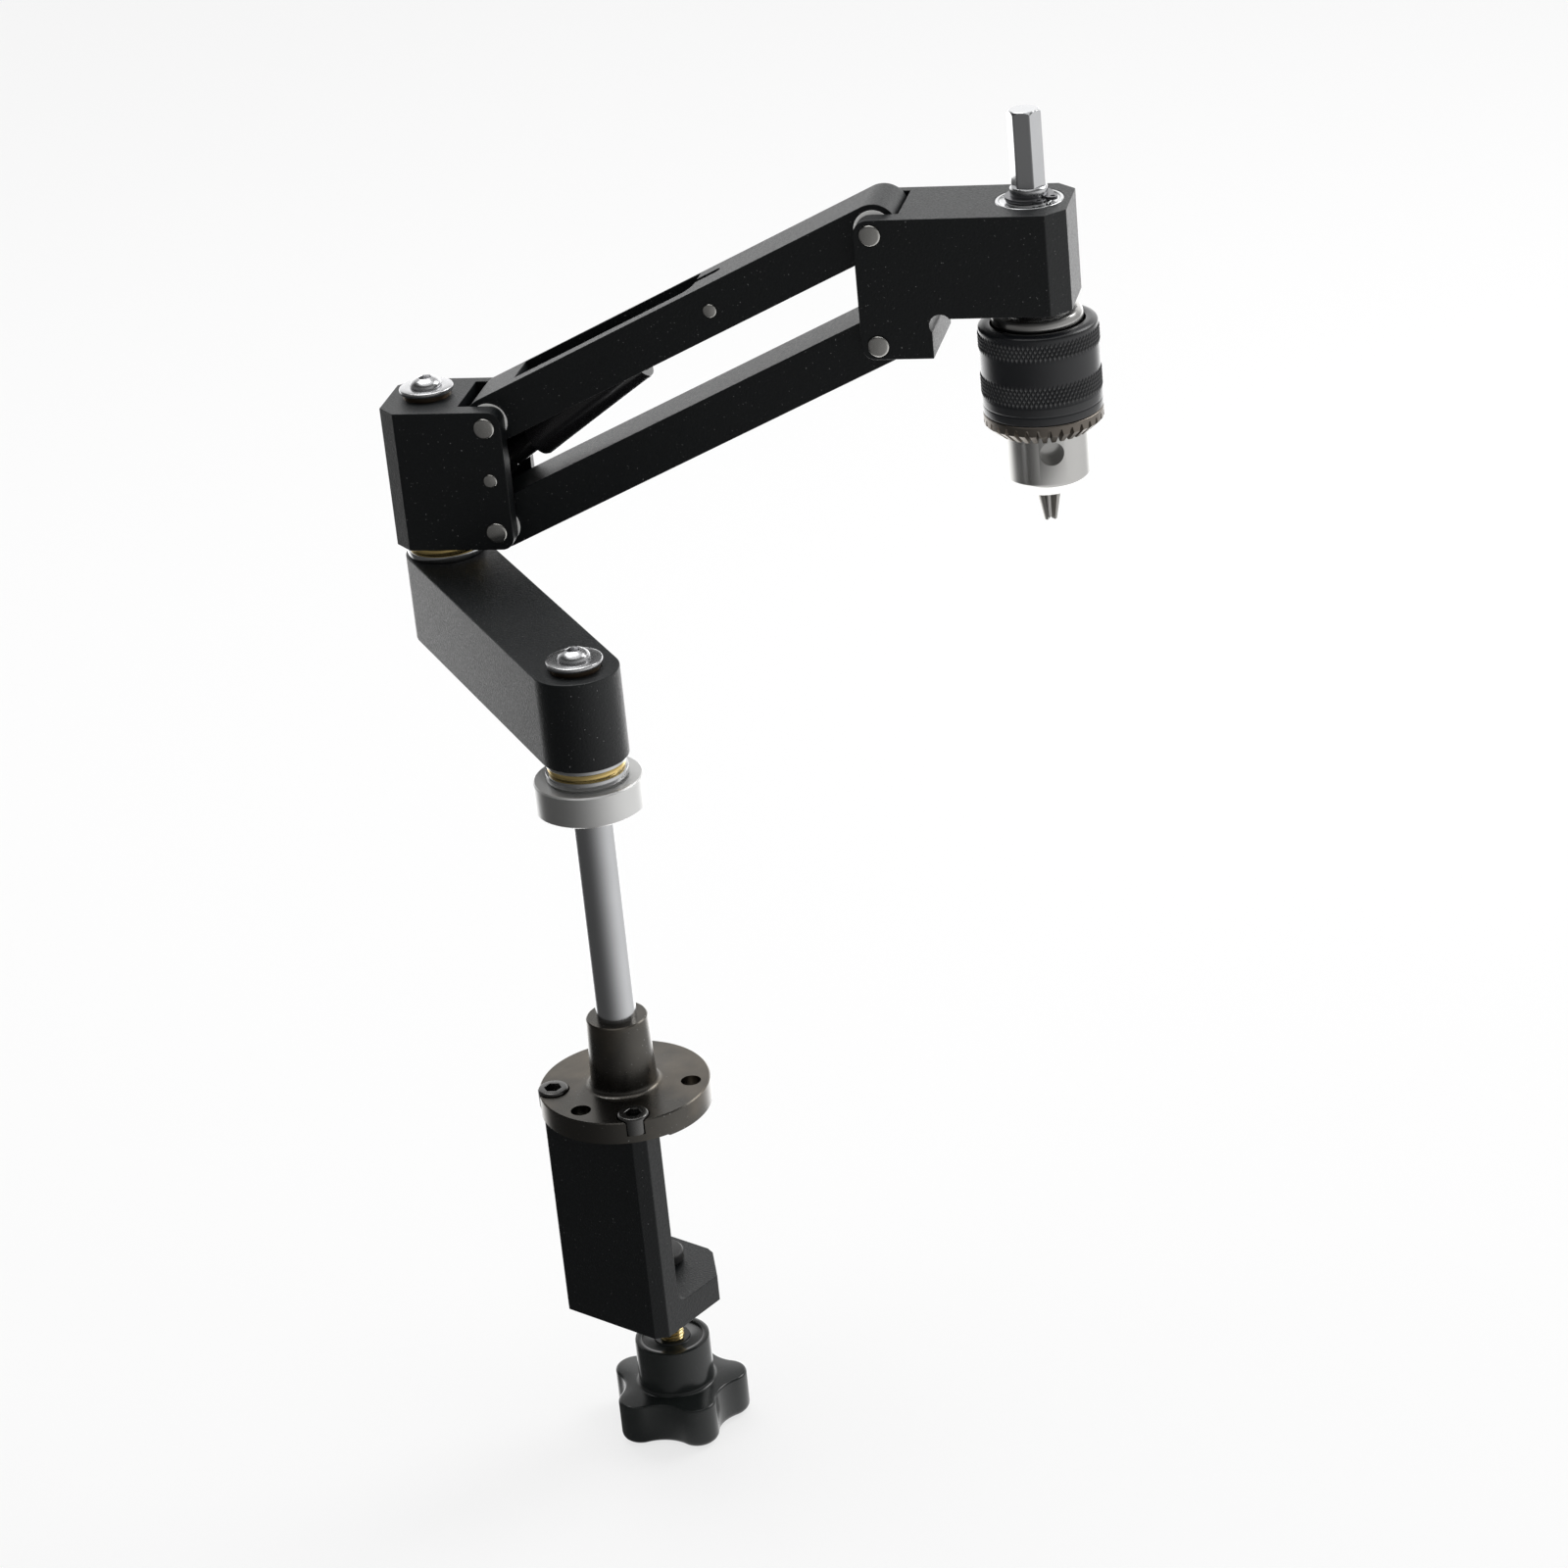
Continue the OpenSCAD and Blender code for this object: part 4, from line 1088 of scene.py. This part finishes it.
@dataclass
class Spindle(SubAssembly):
    """The spindle with its drive hexagon and retaining ring."""

    shaft_r: float = 6.0
    groove_r: float = 5.5
    hex_flats: float = 9.5
    hex_heading: float = -65.3
    hex_low: float = 4.5
    hex_high: float = 29.0

    def build(self) -> None:
        """Make what the drill turns."""
        shop, place = self.shop, self.place
        upright = Place(place.origin, self.hex_heading, 0.0)
        shop.make("drive_spindle", "spindle", self._spindle(), upright, 22.0)
        shop.broken_edges("spindle_clip", "retaining_ring", 0.12, 2)

    def _spindle(self) -> Surface:
        """Circles on the shaft, and on the drive end the smaller of the hexagon and a chamfer cone.

        Returns:
            The spindle's skin, from its lower end to the top of the hexagon.
        """
        steps, crown, shaft, groove, neck = 144, self.hex_high, self.shaft_r, self.groove_r, 5.45
        six = hexagon(self.hex_flats, steps)
        six = np.minimum(six, self.hex_flats / 2 / math.cos(TAU / 12) - 0.07)
        shaft_rows = eased(
            [
                (0, -52), (4.2, -52), (4.76, -51.4), (4.76, -35.8), (8, -35.8), (8, -33.3), (shaft, -33.3),
                (shaft, 0.5), (groove, 0.5), (groove, 1.6), (shaft, 1.6), (shaft, 3.9), (5.55, 4.45),
                (neck, self.hex_low),
            ],
            0.12,
        )
        rows = [(np.full(steps, r), z) for r, z in shaft_rows]
        rows += [(np.minimum(six, neck), self.hex_low), (six, self.hex_low + 0.05)]
        for h in np.linspace(crown - 1.9, crown - 0.12, 16):
            rows.append((np.minimum(six, 4.6 + (crown - h) * 0.9), h))
        rows += [(np.full(steps, r), crown) for r in (4.5, 3.0, 0.0)]
        return rings(np.stack([r for r, _ in rows]), np.array([z for _, z in rows])[:, None])


@dataclass
class KeyChuck(SubAssembly):
    """The key chuck: body, knurled sleeve, bevel ring and three jaws."""

    sleeve_r: float = 19.5
    sleeve_top: float = -39.5
    sleeve_low: float = -69.3
    upper_knurl: Pair = (-41.7, -48.0)
    lower_knurl: Pair = (-55.6, -63.2)
    knurl_depth: float = 0.42
    diamonds: int = 80

    def build(self) -> None:
        """Make the chuck."""
        shop, place = self.shop, self.place
        shop.broken_edges("chuck_barrel", "chuck_body", 0.25, 2, axis=place.origin)
        shop.make("knurled_sleeve", "chuck_sleeve", self._sleeve(), place, 28.0)
        shop.broken_edges("bevel_teeth", "chuck_gear", 0.12, 1, axis=place.origin)
        for letter in "abc":
            shop.broken_edges(f"chuck_jaw_{letter}", f"jaw_{letter}", 0.15, 2)

    def _sleeve(self) -> Surface:
        """Three turned skins and two knurled bands by turns, edge to edge and welded where they meet.

        Returns:
            The sleeve's skin.
        """
        r, top, low, deep = self.sleeve_r, self.sleeve_top, self.sleeve_low, self.knurl_depth
        (first, second), (third, fourth) = self.upper_knurl, self.lower_knurl
        steps = 2 * self.diamonds
        rim, band_r, skirt_r, groove_r, bore = r - deep * 0.75, r - 0.3, r - 0.22, r - 0.34, 17.3
        cap = [
            (bore, -43), (15.2, -42.2), (15.2, top - 0.3), (15.7, top), (bore, top), (18.6, top - 0.5),
            (19.2, top - 1.1), (rim, first),
        ]
        band = [(rim, second), (band_r, second - 0.35), (band_r, third + 0.35), (rim, third)]
        skirt = [
            (rim, fourth), (skirt_r, -63.6), (skirt_r, -65.9), (groove_r, -66.1), (groove_r, -66.4),
            (skirt_r, -66.6), (skirt_r, low + 0.5), (r - 0.6, low), (16.2, low), (16.2, -67), (bore, -66),
            (bore, -43),
        ]
        return joined(
            [
                lathe(eased(cap, 0.35), steps),
                knurl(r, deep, rim, self.upper_knurl, steps, 6),
                lathe(eased(band, 0.15), steps),
                knurl(r, deep, rim, self.lower_knurl, steps, 7),
                lathe(eased(skirt, 0.15), steps),
            ]
        )


# Studio


@dataclass(frozen=True)
class Glow:
    """How bright a card is: at its darkest, added on the right, added behind, and the share left high up."""

    dark: float
    side: float
    back: float
    above: float


@dataclass
class Studio:
    """Camera at the photograph's view, pale floor and soft light. Angles in degrees, lengths in metres."""

    azimuth: float = -139.756
    elevation: float = 24.728
    roll: float = -5.621
    slide: Pair = (0.060998, 0.004480)
    distance: float = 1.34442
    target: Vec3 = (0.0, 0.0, 0.110)
    focal: float = 97.85
    sensor: float = 36.0
    floor_z: float = -0.1262
    floor_reach: float = 14.0
    floor_lift: float = 0.72
    world_light: float = 0.55
    reflection_card_reach: float = 3.0
    drum_sides: int = 24
    drum_high: float = 5.0
    lamp_away: float = 1.8
    lamp_aim: Vec3 = (0.04, 0.0, 0.12)

    def build(self) -> None:
        """Set up camera, floor, cards and light."""
        self._camera()
        self._floor()
        self._world()
        self._reflection_cards()
        self._softbox("right_softbox", heading=-25.0, elevation=38.0, side=0.9, power=12.0)
        self._softbox("top_softbox", heading=60.0, elevation=68.0, side=1.1, power=13.0)
        bpy.context.scene.view_settings.view_transform = "Standard"

    def _camera(self) -> None:
        """Place the camera on its line of sight, rolled and slid as the photograph's framing has it."""
        az, el, roll = (math.radians(a) for a in (self.azimuth, self.elevation, self.roll))
        back = Vector((math.cos(el) * math.cos(az), math.cos(el) * math.sin(az), math.sin(el)))
        right = Vector((-math.sin(az), math.cos(az), 0.0))
        up = back.cross(right)
        x_axis = right * math.cos(roll) + up * math.sin(roll)
        y_axis = up * math.cos(roll) - right * math.sin(roll)
        eye = Vector(self.target) + x_axis * self.slide[0] + y_axis * self.slide[1] + back * self.distance
        data = bpy.data.cameras.new("photo_camera")
        data.lens, data.sensor_width, data.sensor_fit = self.focal, self.sensor, "HORIZONTAL"
        data.clip_start, data.clip_end = 0.05, 60.0
        camera = new_object("photo_camera", data)
        camera.matrix_world = Matrix.Translation(eye) @ Matrix((x_axis, y_axis, back)).transposed().to_4x4()
        bpy.context.scene.camera = camera

    @staticmethod
    def _seen(tree: Tree) -> Socket:
        """One for rays from the camera, off gloss or through glass, else zero.

        Args:
            tree: the node tree.

        Returns:
            The one or zero.
        """
        path = tree.nodes.new("ShaderNodeLightPath").outputs
        seen = path["Is Camera Ray"]
        for kind in ("Is Glossy Ray", "Is Transmission Ray"):
            seen = node(tree, "Math", {0: seen, 1: path[kind]}, operation="MAXIMUM")
        return seen

    @staticmethod
    def _stage(name: str, surface: Surface) -> bpy.types.Object:
        """Make a stage piece.

        Args:
            name: the piece's name.
            surface: its shape in metres.

        Returns:
            The piece.
        """
        mesh = bpy.data.meshes.new(name)
        mesh.from_pydata(surface.points.tolist(), [], rows_of(surface.faces))
        piece = new_object(name, mesh)
        return piece

    @staticmethod
    def _sheet(reach: float, z: float) -> Surface:
        """A level square about the axis, from its four corners."""
        corners = [(-reach, -reach, z), (reach, -reach, z), (reach, reach, z), (-reach, reach, z)]
        return Surface(np.array(corners), [np.array([[0, 1, 2, 3]])])

    def _floor(self) -> None:
        """The pale floor: its own colour and shadow, lifted towards white for rays that see it directly."""
        floor = self._stage("floor", self._sheet(self.floor_reach, self.floor_z))
        mat = empty_material("pale_floor")
        tree = mat.node_tree
        paint = {"Base Color": (0.88, 0.88, 0.88, 1.0), "Roughness": 0.9, "Specular IOR Level": 0.1}
        matt = node(tree, "BsdfPrincipled", paint, "BSDF")
        glow = node(tree, "Emission", {"Color": (1.0, 1.0, 1.0, 1.0), "Strength": 1.0}, "Emission")
        share = node(tree, "Math", {0: self._seen(tree), 1: self.floor_lift}, operation="MULTIPLY")
        give_surface(tree, node(tree, "MixShader", {"Fac": share, 1: matt, 2: glow}, "Shader"))
        floor.data.materials.append(mat)

    def _reflection_cards(self) -> None:
        """Glowing cards round the object that only reflections show: painted reflections, bright to the
        right and behind and dark in front.

        The lower one lies on the floor, and the other is a drum with flat sides round the object.
        """
        reach, low = self.reflection_card_reach, self.floor_z + 0.002
        # painted reflection: a glowing sheet on the floor, dark in front, that only gloss sees
        self._reflection_card("floor_reflection_glow", self._sheet(reach, low), Glow(dark=0.09, side=0.95, back=2.3, above=1.0))
        around = np.full((2, self.drum_sides), reach)
        drum = rings(around, np.array([[low], [self.drum_high]]))
        self._reflection_card("drum_reflection_glow", drum, Glow(dark=0.14, side=0.4, back=1.3, above=0.35))

    def _reflection_card(self, name: str, surface: Surface, glow: Glow) -> None:
        """Make a card with its glow and hide it from all but reflections.

        The glow is dark + side ((1 + cosine from the side) / 2) squared + back times a ramp of the cosine
        from the back that runs from 0.55 to 0.9. A factor then takes it from one to `above` between
        heights of 1.3 and 1.75 m.

        Args:
            name: name of the card and its material.
            surface: its shape in metres.
            glow: its levels.
        """
        behind_from, fades = (0.55, 0.9), (1.3, 1.75)
        mat = empty_material(name)
        tree = mat.node_tree
        where = node(tree, "TexCoord", {}, "Object")
        level = node(tree, "VectorMath", {0: where, 1: (1.0, 1.0, 0.0)}, operation="MULTIPLY")
        flat = node(tree, "VectorMath", {0: level}, operation="NORMALIZE")
        from_side = self._cosine(tree, flat, self.azimuth + 90.0)
        from_back = self._cosine(tree, flat, self.azimuth + 180.0)
        half = node(tree, "Math", {0: from_side, 1: 0.5, 2: 0.5}, operation="MULTIPLY_ADD")
        square = node(tree, "Math", {0: half, 1: 2.0}, operation="POWER")
        behind = ramp(tree, from_back, behind_from, (glow.dark, glow.dark + glow.back))
        around = node(tree, "Math", {0: square, 1: glow.side, 2: behind}, operation="MULTIPLY_ADD")
        height = node(tree, "SeparateXYZ", {"Vector": where}, "Z")
        left = ramp(tree, height, fades, (1.0, glow.above))
        strength = node(tree, "Math", {0: around, 1: left}, operation="MULTIPLY")
        # the card glows by itself: painted reflections, not light from the lamps
        give_surface(tree, node(tree, "Emission", {"Strength": strength}, "Emission"))
        card = self._stage(name, surface)
        card.data.materials.append(mat)
        card.visible_camera = False
        card.visible_diffuse = False
        card.visible_shadow = False
        card.visible_transmission = False

    @staticmethod
    def _cosine(tree: Tree, flat: Socket, heading: float) -> Socket:
        """Cosine between a level unit vector and a heading."""
        away = (math.cos(math.radians(heading)), math.sin(math.radians(heading)), 0.0)
        return node(tree, "VectorMath", {0: flat, 1: away}, "Value", operation="DOT_PRODUCT")

    def _world(self) -> None:
        """White where it is seen, softer as a light."""
        world = bpy.data.worlds.new("studio")
        bpy.context.scene.world = world
        world.use_nodes = True
        tree = world.node_tree
        light = tree.nodes["Background"]
        light.inputs["Color"].default_value = (1.0, 1.0, 1.0, 1.0)
        level = ramp(tree, self._seen(tree), after=(self.world_light, 1.0))
        tree.links.new(level, light.inputs["Strength"])

    def _softbox(self, name: str, heading: float, elevation: float, side: float, power: float) -> None:
        """A square area light that faces the middle of the object and isn't seen by the camera.

        Args:
            name: the lamp's name.
            heading: where it stands, round the middle.
            elevation: how high it stands.
            side: its side in metres.
            power: its power in watts.
        """
        h, e = math.radians(heading), math.radians(elevation)
        away = Vector((math.cos(e) * math.cos(h), math.cos(e) * math.sin(h), math.sin(e)))
        data = bpy.data.lights.new(name, "AREA")
        data.shape = "RECTANGLE"
        data.size = data.size_y = side
        data.energy = power
        lamp = new_object(name, data)
        spot = Vector(self.lamp_aim) + away * self.lamp_away
        lamp.matrix_world = Matrix.Translation(spot) @ away.to_track_quat("Z", "Y").to_matrix().to_4x4()
        lamp.visible_camera = False


def main() -> None:
    """Load the frame, build the sub-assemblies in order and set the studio."""
    logging.basicConfig(level=logging.INFO, format="%(name)s: %(message)s")
    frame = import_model()
    shop = Workshop(frame)
    elbow, lift, spin, head, screw = (
        shop.point(j) for j in ("elbow_turn", "lift", "spindle_spin", "head_level", "knob_turn")
    )
    link_heading = math.degrees(math.atan2(elbow[1], elbow[0]))
    axis = shop.joints["lift"]["axis"]
    arm_heading = math.degrees(math.atan2(axis[0], -axis[1]))
    reach = math.hypot(head[0] - lift[0], head[1] - lift[1])
    climb = math.degrees(math.atan2(head[2] - lift[2], reach))
    parts: list[SubAssembly] = [
        BenchClamp(shop, Place()),
        ClampKnob(shop, Place((screw[0], screw[1], 0.0))),
        SwingLink(shop, Place(heading=link_heading)),
        ElbowBlock(shop, Place((elbow[0], elbow[1], 0.0), arm_heading)),
        ParallelBars(shop, Place(lift, arm_heading, climb)),
        GasStrut(shop, Place(lift, arm_heading)),
        HeadBlock(shop, Place(head, arm_heading)),
        Spindle(shop, Place(spin, arm_heading)),
        KeyChuck(shop, Place(spin, arm_heading)),
    ]
    for part in parts:
        part.build()
    Studio().build()
    LOG.info("%d sub-assemblies built", len(parts))


if __name__ == "__main__":
    main()
